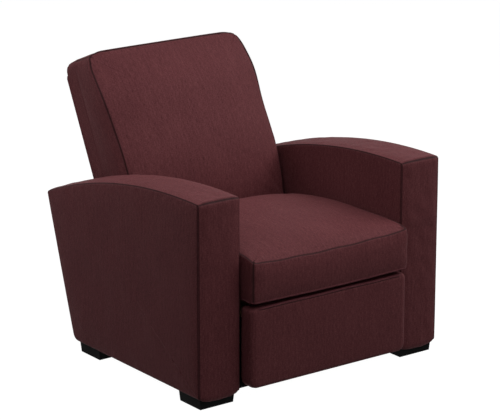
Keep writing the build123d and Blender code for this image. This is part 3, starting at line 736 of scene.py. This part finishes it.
def swell(cover, held, most, pressure=4.0, last_frame=20, band_share=0.5):
    """Simulate the cover as cloth under pressure, cap how far each point moved, and return the
    points.  held are the indices of points that don't move.  The band is stiffer than the face,
    being narrow and interlined, so it keeps only band_share of its movement."""
    rest = coordinates(cover.data)
    group = cover.vertex_groups.new(name="held")
    group.add([int(index) for index in held], 1.0, "REPLACE")
    cloth_modifier = cover.modifiers.new("swell", "CLOTH")
    settings = cloth_modifier.settings
    settings.quality = 4
    settings.mass = 0.25
    settings.tension_stiffness = 18
    settings.compression_stiffness = 18
    settings.shear_stiffness = 8
    settings.bending_stiffness = 0.6
    settings.use_pressure = True
    settings.uniform_pressure_force = pressure
    settings.vertex_group_mass = "held"
    settings.effector_weights.gravity = 0
    cloth_modifier.collision_settings.use_collision = False
    scene = bpy.context.scene
    for frame_number in range(1, last_frame + 1):
        scene.frame_set(frame_number)
    swollen = cover.evaluated_get(bpy.context.evaluated_depsgraph_get()).data
    step = coordinates(swollen) - rest
    length = np.linalg.norm(step, axis=1)[:, None]
    step *= np.minimum(1, most / np.maximum(length, 1e-9))
    size = cover["ring_size"]
    step[cover["low_seam"] * size:cover["high_seam"] * size] *= band_share
    cover.modifiers.remove(cloth_modifier)
    cover.vertex_groups.remove(group)
    scene.frame_set(1)
    print(cover.name, "swelled by at most", round(float(length.max()), 4))
    return rest + step


def held_rows(cover):
    """Indices of the points that stay: all up to the lower seam, and the upper seam's ring,
    since thread and piping hold a seam's line while the cloth between swells."""
    size = cover["ring_size"]
    upper = np.arange(cover["high_seam"] * size, (cover["high_seam"] + 1) * size)
    return np.concatenate([np.arange((cover["low_seam"] + 1) * size), upper])


def set_points(cover, points):
    """Write points back into a mesh."""
    cover.data.vertices.foreach_set("co", np.asarray(points, np.float32).reshape(-1))
    cover.data.update()


print("swelling helpers ready")

# %% [markdown]
# The seat's top seam isn't level: it sags across the front, where people slide in, and falls to
# the rear. The band under it bulges a little. The crown rises steeply at the seam and is nearly
# flat in the middle, as a filled cushion is, which a superellipse gives and a sphere doesn't.

# %% The seat cushion
SEAT_LOW, SEAT_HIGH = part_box("seat_cushion")
SEAT_CREST = 0.463
SEAT_RIM = 0.013
FACE_BLEND = 0.012
seat_half = SEAT_HIGH.x
seat_front = SEAT_LOW.y
seat_rear = SEAT_HIGH.y
seat_corners = [(-seat_half, seat_front), (seat_half, seat_front), (seat_half, seat_rear),
                (-seat_half, seat_rear)]
SEAT_LINE = outline_of(round_corners(seat_corners, [0.022, 0.022, 0.03, 0.03]), 0.0085,
                       [(-seat_half + 0.006, seat_front + 0.006),
                        (seat_half - 0.006, seat_front + 0.006)])


def seat_seam(x, y):
    """Height of the top seam: lower in front and behind than beside, with a sag across the
    front and a slight waver all round."""
    back_share = (y - seat_front) / (seat_rear - seat_front)
    climb = 1 - (1 - np.clip(back_share / 0.35, 0, 1)) ** 5
    fall = np.clip((back_share - 0.45) / 0.55, 0, 1) ** 2
    level = 0.422 + 0.016 * climb - 0.036 * fall
    sag = 0.008 * (1 - (x / seat_half) ** 2) * np.exp(-back_share * 9)
    return level - sag + 0.0011 * np.sin(x * 47 + 1.0) * np.exp(-back_share * 9)


x, y = SEAT_LINE["points"].T
side_share = np.clip((np.abs(x) - seat_half + 0.012) / 0.012, 0, 1)
middle_share = 1 - (2 * (y - seat_front) / (seat_rear - seat_front) - 1) ** 2
front_share = np.clip((seat_front + 0.03 - y) / 0.03, 0, 1)
SEAT_LINE["points"][:, 0] -= np.sign(x) * 0.004 * side_share * middle_share
bow_x = (-0.286, -0.186, -0.047, 0.094, 0.283)
bow = np.polyfit(bow_x, (0.0005, -0.0010, -0.0030, -0.0030, 0.0), 4)
seat_under = SEAT_LOW.z + 0.0008 + front_share * np.polyval(bow, x)
seat_rings = slab_rings(SEAT_LINE, seat_under, seat_seam(x, y), (0.008, SEAT_RIM),
                        face_rings=24, band_rings=13, puff=0.0010 + 0.0018 * front_share,
                        groove=0.0026, spread=1.45)


square_corners(seat_rings["flat"], seat_half, seat_front, -1, 0.022, 0.85)


def seat_top(x, y):
    """Height of the swollen top: from the seam's level to the crest by the product of two
    superellipse shares, one across and one from front to rear."""
    across = np.clip(np.abs(x) / (seat_half - 0.012), 0, 1)
    back_share = (y - seat_front - SEAT_RIM) / (seat_rear - seat_front - 2 * SEAT_RIM)
    deep = np.clip(np.abs(2 * back_share - 1), 0, 1)
    level = seat_seam(x, y)
    crest = SEAT_CREST + soft_noise(x, y, 5, 0.24) * 0.0016
    return level + (crest - level) * (1 - across**2.4) * (1 - deep**2.9)


def crown_seat(rings):
    """Raise the top face from its seam to the crest."""
    flat = rings["flat"]
    top = seat_top(flat[:, :, 0], flat[:, :, 1])
    rings["depth"] = np.where(on_face(rings, 1.0), top, rings["depth"])


crown_seat(seat_rings)


def place_level(plane, height):
    """Plane points are X and Y, and depth is the height."""
    return np.stack([plane[:, :, 0], plane[:, :, 1], height], 2)


seat_cover = slab_piece("seat_cover", seat_rings, SEAT_LINE, place_level, upholstery, True)
print("seat cover", len(seat_cover.data.polygons), "faces")

# %% Swell the seat cushion
# the crown's share is 1 on the top face and fades out over FACE_BLEND below it
seat_points = swell(seat_cover, held_rows(seat_cover), 0.024, band_share=0.22)
x, y, z = seat_points.T
crowned = seat_top(x, y)
on_top = np.clip((z - crowned + FACE_BLEND) / FACE_BLEND, 0, 1)
settled = crowned + 0.003 * np.tanh((z - crowned) / 0.030)
seat_points[:, 2] = z + (settled - z) * on_top
# the swollen cover may stand out of the cushion's box by this much beside, ahead and below
beside_by, ahead_by, below_by = 0.004, 0.007, 0.0035
limit = seat_half + beside_by
seat_points[:, 0] = np.clip(seat_points[:, 0], -limit, limit)
seat_points[:, 1] = np.maximum(seat_points[:, 1], seat_front - ahead_by)
seat_points[:, 2] = np.maximum(seat_points[:, 2], SEAT_LOW.z - below_by)
set_points(seat_cover, seat_points)
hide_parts("seat_cushion")
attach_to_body(seat_cover, "seat")
print("seat crest", round(float(seat_points[:, 2].max()), 4))

# %% [markdown]
# The back leans by its rake. It has a soft front cushion, fullest at the lumbar and again at the
# head roll, a padded border round the timber frame and a tight outer panel. The plane of its
# outline is across and up the back, and depth is counted forward from its rear face.


# %% The back's own frame of reference
def place_back(plane, depth):
    """Across, up the rake and forward of the rear face, turned into the room."""
    return np.stack([plane[:, :, 0],
                     BACK_REAR[0] - depth * math.cos(RAKE) + plane[:, :, 1] * math.sin(RAKE),
                     BACK_REAR[1] + depth * math.sin(RAKE) + plane[:, :, 1] * math.cos(RAKE)], 2)


BACK_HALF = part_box("back_boxing")[1].x
BACK_TOP, BACK_LOW, BACK_HANG = 0.022, -0.545, -0.665
TOP_REACH = 0.062
BACK_SEAM = np.array(((-0.545, 0.152), (-0.460, 0.174), (-0.369, 0.186), (-0.160, 0.154),
                      (0.022, 0.136)))
BACK_CROWN = np.array((0.008, 0.024, 0.032, 0.030, 0.006))
seam_curve = np.polyfit(BACK_SEAM[:, 0], BACK_SEAM[:, 1], 4)
crown_curve = np.polyfit(BACK_SEAM[:, 0], BACK_CROWN, 4)


def back_face(x, height):
    """Depth of the front face: the seam's depth at this height and a crown across the width,
    each a quartic through five measured heights, and the head roll near the top."""
    width_share = np.clip(np.abs(x) / BACK_HALF, 0, 1)
    crown = np.maximum(np.polyval(crown_curve, height), 0.003)
    head_roll = 0.0275 * np.exp(-(((height + 0.10) / 0.107) ** 2))
    head_roll *= np.sqrt(np.clip((BACK_TOP - height) / 0.03, 0, 1))
    return np.polyval(seam_curve, height) + head_roll + crown * (1 - width_share**2.4)


def head_bulge(height):
    """How far the cushion's sides stand out beside the head roll."""
    return 0.009 * np.exp(-(((height + 0.09) / 0.10) ** 2))


def round_top(flat, share):
    """Pull the two upper corners of the rings in to a larger radius, by each ring's share."""
    across, upward = in_corners(flat, BACK_HALF, BACK_TOP, 1, TOP_REACH)
    far = np.maximum(np.hypot(across, upward), 1e-6)
    pull = (squared(across, upward) / far - 1) * share[:, None] * TOP_REACH
    flat[:, :, 0] += np.sign(flat[:, :, 0]) * across * pull
    flat[:, :, 1] += upward * pull


print("lumbar depth", round(float(back_face(0.0, -0.369)), 3))

# %% The back cushion
back_corners = [(-BACK_HALF, BACK_LOW), (BACK_HALF, BACK_LOW), (BACK_HALF, BACK_TOP),
                (-BACK_HALF, BACK_TOP)]
BACK_LINE = outline_of(round_corners(back_corners, [0.024] * 4), 0.0085,
                       [(-BACK_HALF + 0.009, BACK_TOP - 0.009),
                        (BACK_HALF - 0.009, BACK_TOP - 0.009)])
x, height = BACK_LINE["points"].T
back_rings = slab_rings(BACK_LINE, 0.0554, back_face(x, height), (0.0004, 0.011), face_rings=26,
                        band_rings=12, groove=0.0026, spread=1.45)
back_rings["seam"][:back_rings["low_seam"] + 2] = 0.0


def crown_back(rings):
    """Lay the front face on back_face, with a soft unevenness, and puff the sides."""
    flat, share = rings["flat"], rings["share"]
    round_top(flat, 0.62 * share)
    x, height = flat[:, :, 0], flat[:, :, 1]
    flat[:, :, 0] = x * (1 + share[:, None] * head_bulge(height) / BACK_HALF)
    inside = swelling(BACK_HALF - np.abs(x), BACK_TOP - height, height - BACK_LOW, reach=0.014)
    uneven = soft_noise(x, height, 8, 0.22) * 0.0018
    face = back_face(x, height) + (uneven + 0.006) * inside
    rings["depth"] = np.where(on_face(rings, 1.0), face, rings["depth"])


crown_back(back_rings)
back_cover = slab_piece("back_cover", back_rings, BACK_LINE, place_back, upholstery)
print("back cover", len(back_cover.data.polygons), "faces")

# %% [markdown]
# The back cushion is swelled as the seat is. Its result is read in the back's own frame, led part
# of the way back to the written face, and kept from standing out too far beside and above.

# %% Swell the back cushion
back_points = swell(back_cover, held_rows(back_cover), 0.022, pressure=3.0)


def back_coordinates(points):
    """Across, height and depth on the back of points in the room, place_back's inverse."""
    y, z = points[:, 1] - BACK_REAR[0], points[:, 2] - BACK_REAR[1]
    return (points[:, 0], y * math.sin(RAKE) + z * math.cos(RAKE),
            z * math.sin(RAKE) - y * math.cos(RAKE))


x, height, depth = back_coordinates(back_points)
measured = back_face(x, height)
front_share = np.clip((depth - measured + FACE_BLEND) / FACE_BLEND, 0, 1)
band_share = np.clip((depth - 0.058) / 0.05, 0, 1)
settled = measured + np.clip(0.22 * (depth - measured), -0.004, 0.006)
depth = depth + (settled - depth) * front_share
limit = BACK_HALF + (0.005 + head_bulge(height)) * band_share
x = np.clip(x, -limit, limit)
height = np.minimum(height, BACK_TOP + 0.0005)
back_points = place_back(np.stack([x, height], 1)[None], depth[None])[0]
set_points(back_cover, back_points)
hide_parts("back_cushion")
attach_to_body(back_cover, "back")
print("back cover done")

# %% [markdown]
# Behind the cushion, a padded border wraps the timber frame, and its outer edge is rounder along
# the top. The outer panel is cloth pulled over thin wadding and piped all round. It hangs lower
# than the cushion and hides the brackets.

# %% The border round the back's frame, and the outer panel
x, height = BACK_LINE["points"].T
top_roll = np.clip((height - BACK_TOP + 0.03) / 0.02, 0, 1)
border_rings = slab_rings(BACK_LINE, 0.0015, 0.0553, (0.005 + 0.007 * top_roll, 0.0004),
                          face_rings=10, band_rings=8, groove=0.0016)
border_rings["seam"][border_rings["low_seam"] + 2:] = 0.0
back_border = slab_piece("back_border", border_rings, BACK_LINE, place_back, upholstery)
PANEL_TOP = BACK_TOP - 0.036
panel_corners = [(-BACK_HALF, BACK_HANG), (BACK_HALF, BACK_HANG), (BACK_HALF, PANEL_TOP),
                 (-BACK_HALF, PANEL_TOP)]
PANEL_LINE = outline_of(round_corners(panel_corners, [0.012, 0.012, 0.008, 0.008]), 0.009)
panel_rings = slab_rings(PANEL_LINE, -0.0006, 0.0076, (0.003, 0.003), face_rings=18,
                         band_rings=1)
flat = panel_rings["flat"]
panel_dome = swelling(BACK_HALF - np.abs(flat[:, :, 0]), PANEL_TOP - flat[:, :, 1],
                      flat[:, :, 1] - BACK_HANG, reach=0.02)
panel_rings["depth"] -= on_face(panel_rings, 0.0) * panel_dome * (
    0.0022 + 0.0006 * soft_noise(flat[:, :, 0], flat[:, :, 1], 31, 0.2))
outer_panel = slab_piece("back_outer_cover", panel_rings, PANEL_LINE, place_back, upholstery)
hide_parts("back_boxing")
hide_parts("back_outer_panel")
for cover in (back_border, outer_panel):
    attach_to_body(cover, "back")
print("border and outer panel done")

# %% [markdown]
# The footrest is a board with foam round its front and edges. The cloth is pulled over the foam
# and stapled to the back of the board, so the bare board shows between the stapled edges when the
# footrest is open.

# %% The footrest cover
REST_LOW, REST_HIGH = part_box("footrest_pad")
rest_corners = [(REST_LOW.x, REST_LOW.z), (REST_HIGH.x, REST_LOW.z), (REST_HIGH.x, REST_HIGH.z),
                (REST_LOW.x, REST_HIGH.z)]
REST_LINE = outline_of(round_corners(rest_corners, [0.024] * 4), 0.007)
upright = REST_LINE["normals"][:, 0] ** 2
rest_deep = REST_HIGH.y - REST_LOW.y
rest_rings = slab_rings(REST_LINE, -0.0012, rest_deep, (0.005, 0.0095 + 0.0030 * upright),
                        face_rings=22, band_rings=6, puff=0.0015)
square_corners(rest_rings["flat"], REST_HIGH.x, REST_HIGH.z, 1, 0.024, 0.7)
shrink, share = rest_rings["shrink"], rest_rings["share"]
# the cloth's hem ends where the board's bare back begins
behind = (share == 0.0) & (shrink < 0.945)
rest_rings["depth"][behind] = 0.006
rest_x, rest_z = rest_rings["flat"][:, :, 0], rest_rings["flat"][:, :, 1]
rest_dome = swelling(REST_HIGH.x - np.abs(rest_x), REST_HIGH.z - rest_z, rest_z - REST_LOW.z,
                     reach=0.03)
rest_rings["depth"] += on_face(rest_rings, 1.0) * rest_dome * (
    0.0030 + 0.0006 * soft_noise(rest_x, rest_z, 41, 0.2))


def place_rest(plane, depth):
    """Plane points are X and Z, and depth is counted forward from the board's back."""
    return np.stack([plane[:, :, 0], REST_HIGH.y - depth, plane[:, :, 1]], 2)


rest_cover = slab_piece("footrest_cover", rest_rings, REST_LINE, place_rest, upholstery)
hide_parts("footrest_pad")
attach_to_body(rest_cover, "footrest")
print("footrest cover", len(rest_cover.data.polygons), "faces")

# %% [markdown]
# Piping is a cord sewn into a seam under a strip of the same cloth. Here it is a tube carried
# along a ring of the finished cover, so it follows every sag and waver, in a lighter copy of the
# cloth whose extra lightness is a painted highlight. Its section turns with the path by one rule:
# one direction is the given one, made square to the path, and the other is square to both.


# %% Tubes along a line
def tube(name, path, radius, up, material, closed=False, sides=10, flat=1.0, shade=0.0):
    """A tube along points in the room.  radius is one number or one per point, up the direction
    that the section's first axis leans to, flat squeezes the section along it, and shade is how
    dark the section is painted where it turns away from up: painted shade on its sides, where it
    sinks into a seam."""
    path = np.asarray(path, float)
    count = len(path)
    if closed:
        tangent = np.roll(path, -1, 0) - np.roll(path, 1, 0)
    else:
        tangent = np.gradient(path, axis=0)
    tangent /= np.linalg.norm(tangent, axis=1)[:, None]
    up = np.broadcast_to(np.asarray(up, float), path.shape)
    first = up - tangent * np.sum(up * tangent, axis=1)[:, None]
    first /= np.linalg.norm(first, axis=1)[:, None]
    second = np.cross(tangent, first)
    turn = np.linspace(0, 2 * math.pi, sides, endpoint=False)
    radius = np.broadcast_to(np.asarray(radius, float), count)[:, None, None]
    points = path[:, None] + radius * (first[:, None] * np.cos(turn)[None, :, None] * flat
                                       + second[:, None] * np.sin(turn)[None, :, None])
    run = np.concatenate([[0], np.cumsum(np.linalg.norm(np.diff(path, axis=0), axis=1))])
    quads = ring_faces(count, sides)
    around = np.linspace(0, 2 * math.pi * float(radius.max()), sides + 1)
    u = np.stack([around[:-1], around[1:], around[1:], around[:-1]], 1)
    grain = np.zeros((count - 1, sides, 4, 2))
    grain[..., 0] = u[None]
    grain[..., 1] = np.stack([run[:-1], run[:-1], run[1:], run[1:]], 1)[:, None]
    quads, grain = quads.reshape(-1, 4), grain.reshape(-1, 4, 2)
    points = points.reshape(-1, 3)
    # painted shade: points of the section turned more than about 70 degrees from up are darkened by
    # shade
    side_shade = np.tile(shade * (np.cos(turn) < 0.35), count)
    here = np.arange(sides)
    beside = (here + 1) % sides
    last = sides * (count - 1)
    if closed:
        join = np.stack([last + here, last + beside, beside, here], 1)
        quads = np.vstack([quads, join])
        grain = np.vstack([grain, grain[-sides:]])
        fans = np.zeros((0, 3), int)
    else:
        points = np.vstack([points, path[0], path[-1]])
        fans = np.vstack([np.stack([beside, here, np.full(sides, count * sides)], 1),
                          np.stack([last + here, last + beside,
                                    np.full(sides, count * sides + 1)], 1)])
    side_shade = np.append(side_shade, np.full(len(points) - len(side_shade), shade))
    return mesh_of(name, points, quads, grain, fans, np.zeros((len(fans), 3, 2)), side_shade, material)


def seam_line(cover, kind, keep=None):
    """The finished cover's points on one of its two seam rings, all or where keep is true."""
    size = cover["ring_size"]
    ring = coordinates(cover.data)[cover[kind] * size:(cover[kind] + 1) * size]
    if keep is None:
        return ring
    chosen = np.nonzero(keep)[0]
    gap = np.nonzero(np.diff(chosen) > 1)[0]
    if len(gap):
        chosen = np.roll(chosen, -(gap[0] + 1))
    return ring[chosen]


def attach(piece, body):
    """Ride a trim piece on a body."""
    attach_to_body(piece, body)
    return piece


print("tube helper ready")

# %% Piping and welts
WELT_RADIUS, PANEL_WELT_RADIUS, PIPING_RADIUS = 0.0027, 0.0030, 0.0034
PIPING_OUT = 0.0014
on_front = FRONT_EDGE & (ARM_LINE["points"][:, 1] > ARM_LOW + 0.001)
for side, cover in arm_covers.items():
    name = SIDES[side]
    for kind, place_name, lean in (("low_seam", "inner", -1), ("high_seam", "outer", 1)):
        line = seam_line(cover, kind, on_front)
        line = line + np.array([lean * side * -0.0006, 0.0006, 0.0])
        ends = np.minimum(np.arange(len(line)), np.arange(len(line))[::-1])
        radius = WELT_RADIUS * np.clip(0.45 + ends * 0.3, 0, 1)
        attach(tube(f"{name}_arm_{place_name}_welt", line, radius, (lean * side, -1.0, 0.0),
                    piping_cloth_painted_highlight, sides=12, flat=0.8, shade=WELT_SHADE), "base")
outward = SEAT_LINE["normals"]
outward = np.column_stack([outward, np.zeros(len(outward))])
piping_path = seam_line(seat_cover, "low_seam") + PIPING_OUT * outward
attach(tube("seat_piping", piping_path, PIPING_RADIUS, (0.0, 0.0, 1.0), piping_cloth_painted_highlight,
            closed=True), "seat")
attach(tube("back_panel_welt", seam_line(outer_panel, "low_seam"), PANEL_WELT_RADIUS,
            (0.0, math.cos(RAKE), -math.sin(RAKE)), piping_cloth_painted_highlight, closed=True), "back")
print("piping done")

# %% [markdown]
# Along the footrest's top edge the cloth is rolled over a thin cord, which shows as a round lip
# under the cushion. It fades into the cover at both ends, and all but its top is painted dark, a
# painted shade below the lip's top.

# %% The footrest's rolled top edge
ROLL_RADIUS, ROLL_POINTS = 0.0044, 60
roll_x = np.linspace(REST_LOW.x + 0.012, REST_HIGH.x - 0.012, ROLL_POINTS)
corner_share = np.clip((np.abs(roll_x) - REST_HIGH.x + 0.034) / 0.022, 0, 1) ** 2
roll_path = np.stack([roll_x, REST_LOW.y + 0.0034 + 0.010 * corner_share,
                      REST_HIGH.z - 0.0030 - 0.003 * corner_share
                      + 0.0006 * np.sin(roll_x * 31)], 1)
ends = np.minimum(np.arange(ROLL_POINTS), np.arange(ROLL_POINTS)[::-1])
# shade=1.0 paints the roll dark except along its top, the shade below the lip's top
attach(tube("footrest_roll", roll_path, ROLL_RADIUS * np.clip(0.5 + ends * 0.2, 0, 1),
            (0.0, -0.35, 1.0), piping_cloth_painted_highlight, sides=16, shade=1.0), "footrest")
print("rolled edge done")

# %% [markdown]
# The springs: zigzag wires carry the cushion, and two coil springs pull the seat home. A coil is
# a helix, a circle that moves along while it turns, with a straight lead to the front rail and a
# hook round the torque tube. The coil springs go from the seat to the rear swing links, close to
# the tube.

# %% Zigzag springs
WIRE = 0.002
spring_low, spring_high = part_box("seat_springs")
rows, bends = 4, 12
swing = 0.023
row_gap = (spring_high.x - spring_low.x - 2 * (swing + WIRE)) / (rows - 1)
run = np.linspace(0, 1, bends * 16 + 1)
for row in range(rows):
    x_mid = spring_low.x + swing + WIRE + row * row_gap
    ease = np.clip(np.minimum(run, 1 - run) * 30, 0, 1)
    phase = np.sin(run * bends * math.pi)
    path = np.stack([x_mid + swing * ease * np.sign(phase) * np.abs(phase) ** 0.55,
                     spring_low.y + (spring_high.y - spring_low.y) * run,
                     np.full(len(run), spring_high.z - WIRE)], 1)
    zigzag = attach(tube(f"zigzag_spring_{row}", path, WIRE, (0.0, 0.0, 1.0), spring_wire,
                         sides=8), "seat")
    if row == 0:
        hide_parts("seat_springs")
print("zigzag springs", rows)

# %% Coil springs
coil_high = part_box("return_springs")[1]
tube_low, tube_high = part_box("torque_tube")
tube_mid = (tube_low + tube_high) / 2
COIL_WIRE, COIL_RADIUS, HOOK_RADIUS, COIL_TURNS = 0.0013, 0.0065, 0.0115, 46
COIL_INSET = 0.008
for side in (-1, 1):
    x_mid = side * (coil_high.x - COIL_INSET)
    start = np.array([x_mid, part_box("seat_front_rail")[1].y, coil_high.z - COIL_INSET])
    end = np.array([x_mid, tube_mid.y, tube_mid.z])
    axis = end - start
    whole = np.linalg.norm(axis)
    axis /= whole
    across = np.array([1.0, 0.0, 0.0])
    upward = np.cross(axis, across)
    share = np.linspace(0, 1, COIL_TURNS * 12)[:, None]
    turned = share * COIL_TURNS * 2 * math.pi
    coil = (start + axis * (whole * 0.17) + axis * share * whole * 0.60
            + COIL_RADIUS * (across * np.cos(turned) + upward * np.sin(turned)))
    hook_in = start + axis * (whole * 0.15) * np.linspace(0, 1, 8)[:, None]
    bent = np.linspace(0, 1.3 * math.pi, 14)[:, None]
    hook_round = end - HOOK_RADIUS * (axis * np.cos(bent) + upward * np.sin(bent))
    path = np.vstack([hook_in, coil, hook_round])
    name = SIDES[side]
    spring = tube(f"{name}_return_spring", path, COIL_WIRE, (0.02, 0.05, 1.0), spring_wire,
                  sides=6)
    if side > 0:
        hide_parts("return_springs")
    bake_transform(spring)
print("coil springs done")

# %% [markdown]
# Small trim: staples along the footrest's wrapped edges, and black dust cloths under each arm and
# under the seat, things that such a chair has where it isn't seen from the front; their near-black
# also fills the gap under the seat as painted shade. A staple is repeated many times, so it is one
# small block copied as an array.


# %% Staples and dust cloths
def blocks(name, centres, half_sizes, material):
    """Many small boxes as one piece: each centre gets the same eight corners."""
    signs = np.array([(a, b, c) for a in (-1, 1) for b in (-1, 1) for c in (-1, 1)], float)
    centres = np.asarray(centres, float)
    points = (centres[:, None] + signs[None] * np.asarray(half_sizes)).reshape(-1, 3)
    sides = np.array([(0, 1, 3, 2), (4, 6, 7, 5), (0, 4, 5, 1), (2, 3, 7, 6), (0, 2, 6, 4),
                      (1, 5, 7, 3)])
    quads = (np.arange(len(centres))[:, None, None] * 8 + sides[None]).reshape(-1, 4)
    grain = points[quads][:, :, [0, 2]]
    made = mesh_of(name, points, quads, grain, np.zeros((0, 3), int), np.zeros((0, 3, 2)),
                   np.zeros(len(points)), material)
    made.data.polygons.foreach_set("use_smooth", np.zeros(len(quads), bool))
    return made


HEM, HEM_END = 0.008, 0.03
staple_y = REST_HIGH.y + 0.0014
across = np.linspace(REST_LOW.x + HEM_END, REST_HIGH.x - HEM_END, 22)
upward = np.linspace(REST_LOW.z + HEM_END, REST_HIGH.z - HEM_END, 9)
flat_rows = [(x, staple_y, z) for z in (REST_LOW.z + HEM, REST_HIGH.z - HEM) for x in across]
upright_rows = [(x, staple_y, z) for x in (REST_LOW.x + HEM, REST_HIGH.x - HEM) for z in upward]
for name, centres, half in (("footrest_staples", flat_rows, (0.005, 0.0005, 0.0004)),
                            ("footrest_side_staples", upright_rows, (0.0004, 0.0005, 0.005))):
    attach(blocks(name, centres, half, zinc), "footrest")
# painted shade: the dust cloths close the gaps under the arms and seat with near-black, standing
# for the shade there
CLOTH_HALF_THICK = 0.0006
cloth_front, cloth_rear = FRONT + 0.016, rear_y(ARM_LOW) - 0.03
for side in (-1, 1):
    middle = (side * (ARM_IN + ARM_OUT) / 2, (cloth_front + cloth_rear) / 2, ARM_LOW - 0.0004)
    half = ((ARM_OUT - ARM_IN) / 2 - 0.014, (cloth_rear - cloth_front) / 2, CLOTH_HALF_THICK)
    attach(blocks(f"{SIDES[side]}_dust_cloth_and_shade", [middle], half, dust_cloth_and_shade), "base")
well_front, well_rear = FRONT + 0.012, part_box("rear_cross_rail")[1].y
attach(blocks("seat_dust_cloth_and_shade", [(0.0, (well_front + well_rear) / 2, ARM_LOW + 0.0025)],
              (ARM_IN + 0.004, (well_rear - well_front) / 2, CLOTH_HALF_THICK), dust_cloth_and_shade), "base")
print("staples", len(flat_rows) + len(upright_rows))

# %% [markdown]
# The photograph is a studio one on pure white, taken from the front left, above the chair. The
# camera is set from the fit of the chair's corners to the photograph. The white is the floor's
# and the world's own colour, for rays that come straight from the camera, off a shine or through
# something clear, so that no extra light falls on the cloth. Four soft boxes light it: a large
# one above, the strongest one high on the right, and two weak ones, behind on the left and ahead
# on the right.


# %% Floor
def shown_rays(tree):
    """A socket that is 1 for rays that show the ground itself and 0 for those that light."""
    path = tree.nodes.new("ShaderNodeLightPath")
    shown = path.outputs["Is Camera Ray"]
    for ray in ("Is Glossy Ray", "Is Transmission Ray"):
        larger = tree.nodes.new("ShaderNodeMath")
        larger.operation = "MAXIMUM"
        tree.links.new(shown, larger.inputs[0])
        tree.links.new(path.outputs[ray], larger.inputs[1])
        shown = larger.outputs[0]
    return shown


PURE_WHITE = (1.0, 1.0, 1.0, 1.0)
FLOOR_GREY = (0.12, 0.12, 0.12, 1.0)
bpy.ops.mesh.primitive_plane_add(size=60.0)
floor = bpy.context.object
floor.name = "studio_floor"
floor_material = bpy.data.materials.new("studio_floor")
floor_material.use_nodes = True
tree = floor_material.node_tree
tree.nodes.clear()
floor_output = tree.nodes.new("ShaderNodeOutputMaterial")
paper = tree.nodes.new("ShaderNodeBsdfDiffuse")
paper.inputs["Color"].default_value = FLOOR_GREY
glow = tree.nodes.new("ShaderNodeEmission")
glow.inputs["Color"].default_value = PURE_WHITE
both = tree.nodes.new("ShaderNodeAddShader")
tree.links.new(shown_rays(tree), glow.inputs["Strength"])
tree.links.new(paper.outputs[0], both.inputs[0])
tree.links.new(glow.outputs[0], both.inputs[1])
tree.links.new(both.outputs[0], floor_output.inputs["Surface"])
floor.data.materials.append(floor_material)
floor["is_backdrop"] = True
print("floor", len(tree.nodes), "nodes")

# %% World
world = bpy.data.worlds.new("studio_world")
bpy.context.scene.world = world
world.use_nodes = True
tree = world.node_tree
tree.nodes.clear()
sky_output = tree.nodes.new("ShaderNodeOutputWorld")
choice = tree.nodes.new("ShaderNodeMixShader")
tree.links.new(shown_rays(tree), choice.inputs["Fac"])
for socket, strength in ((1, 0.02), (2, 1.0)):
    sky = tree.nodes.new("ShaderNodeBackground")
    sky.inputs["Color"].default_value = PURE_WHITE
    sky.inputs["Strength"].default_value = strength
    tree.links.new(sky.outputs[0], choice.inputs[socket])
tree.links.new(choice.outputs[0], sky_output.inputs["Surface"])
print("world", len(tree.nodes), "nodes")


# %% Lamps
def softbox(name, place, aim, size, power):
    """A square area lamp that looks at a point."""
    data = bpy.data.lights.new(name, "AREA")
    data.size = size
    data.energy = power
    lamp = bpy.data.objects.new(name, data)
    lamp.location = place
    lamp.rotation_euler = (Vector(aim) - Vector(place)).to_track_quat("-Z", "Y").to_euler()
    bpy.context.scene.collection.objects.link(lamp)


softbox("top_box", (-0.3, -0.9, 2.2), (0.0, -0.1, 0.4), 2.6, 29.0)
softbox("rear_left_box", (-1.5, 0.8, 1.5), (-0.3, 0.45, 0.8), 0.7, 7.6)
softbox("front_right_box", (1.3, -2.3, 2.2), (0.2, -0.4, 0.5), 1.2, 10.8)
softbox("right_box", (2.2, -0.9, 2.4), (0.0, 0.0, 0.5), 1.6, 36.0)
print("lamps", len(bpy.data.lights))

# %% Camera
CAMERA_PLACE = (-4.1122, FRONT - 5.15944, 2.4546)
CAMERA_LOOK = Vector((0.5740, 0.7689, -0.2816))
camera_data = bpy.data.cameras.new("photo_camera")
camera_data.lens = 172.51
camera_data.sensor_width = 36.0
camera = bpy.data.objects.new("photo_camera", camera_data)
camera.location = CAMERA_PLACE
camera.rotation_euler = CAMERA_LOOK.to_track_quat("-Z", "Y").to_euler()
bpy.context.scene.collection.objects.link(camera)
bpy.context.scene.camera = camera
bpy.context.scene.view_settings.view_transform = "Standard"
print("camera at", [round(value, 3) for value in camera.location])

# %% [markdown]
# Last, the dressed chair is measured against the bare frame, and how much the covers made it grow
# is printed.

# %% Measure the dressed chair and finish
dressed_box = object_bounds()
as_lists = {"cad": [list(corner) for corner in cad_box],
            "visual": [list(corner) for corner in dressed_box]}
print("box grew by", [round(abs(float(b - a)), 4)
                      for low, high in zip(*as_lists.values()) for a, b in zip(low, high)])
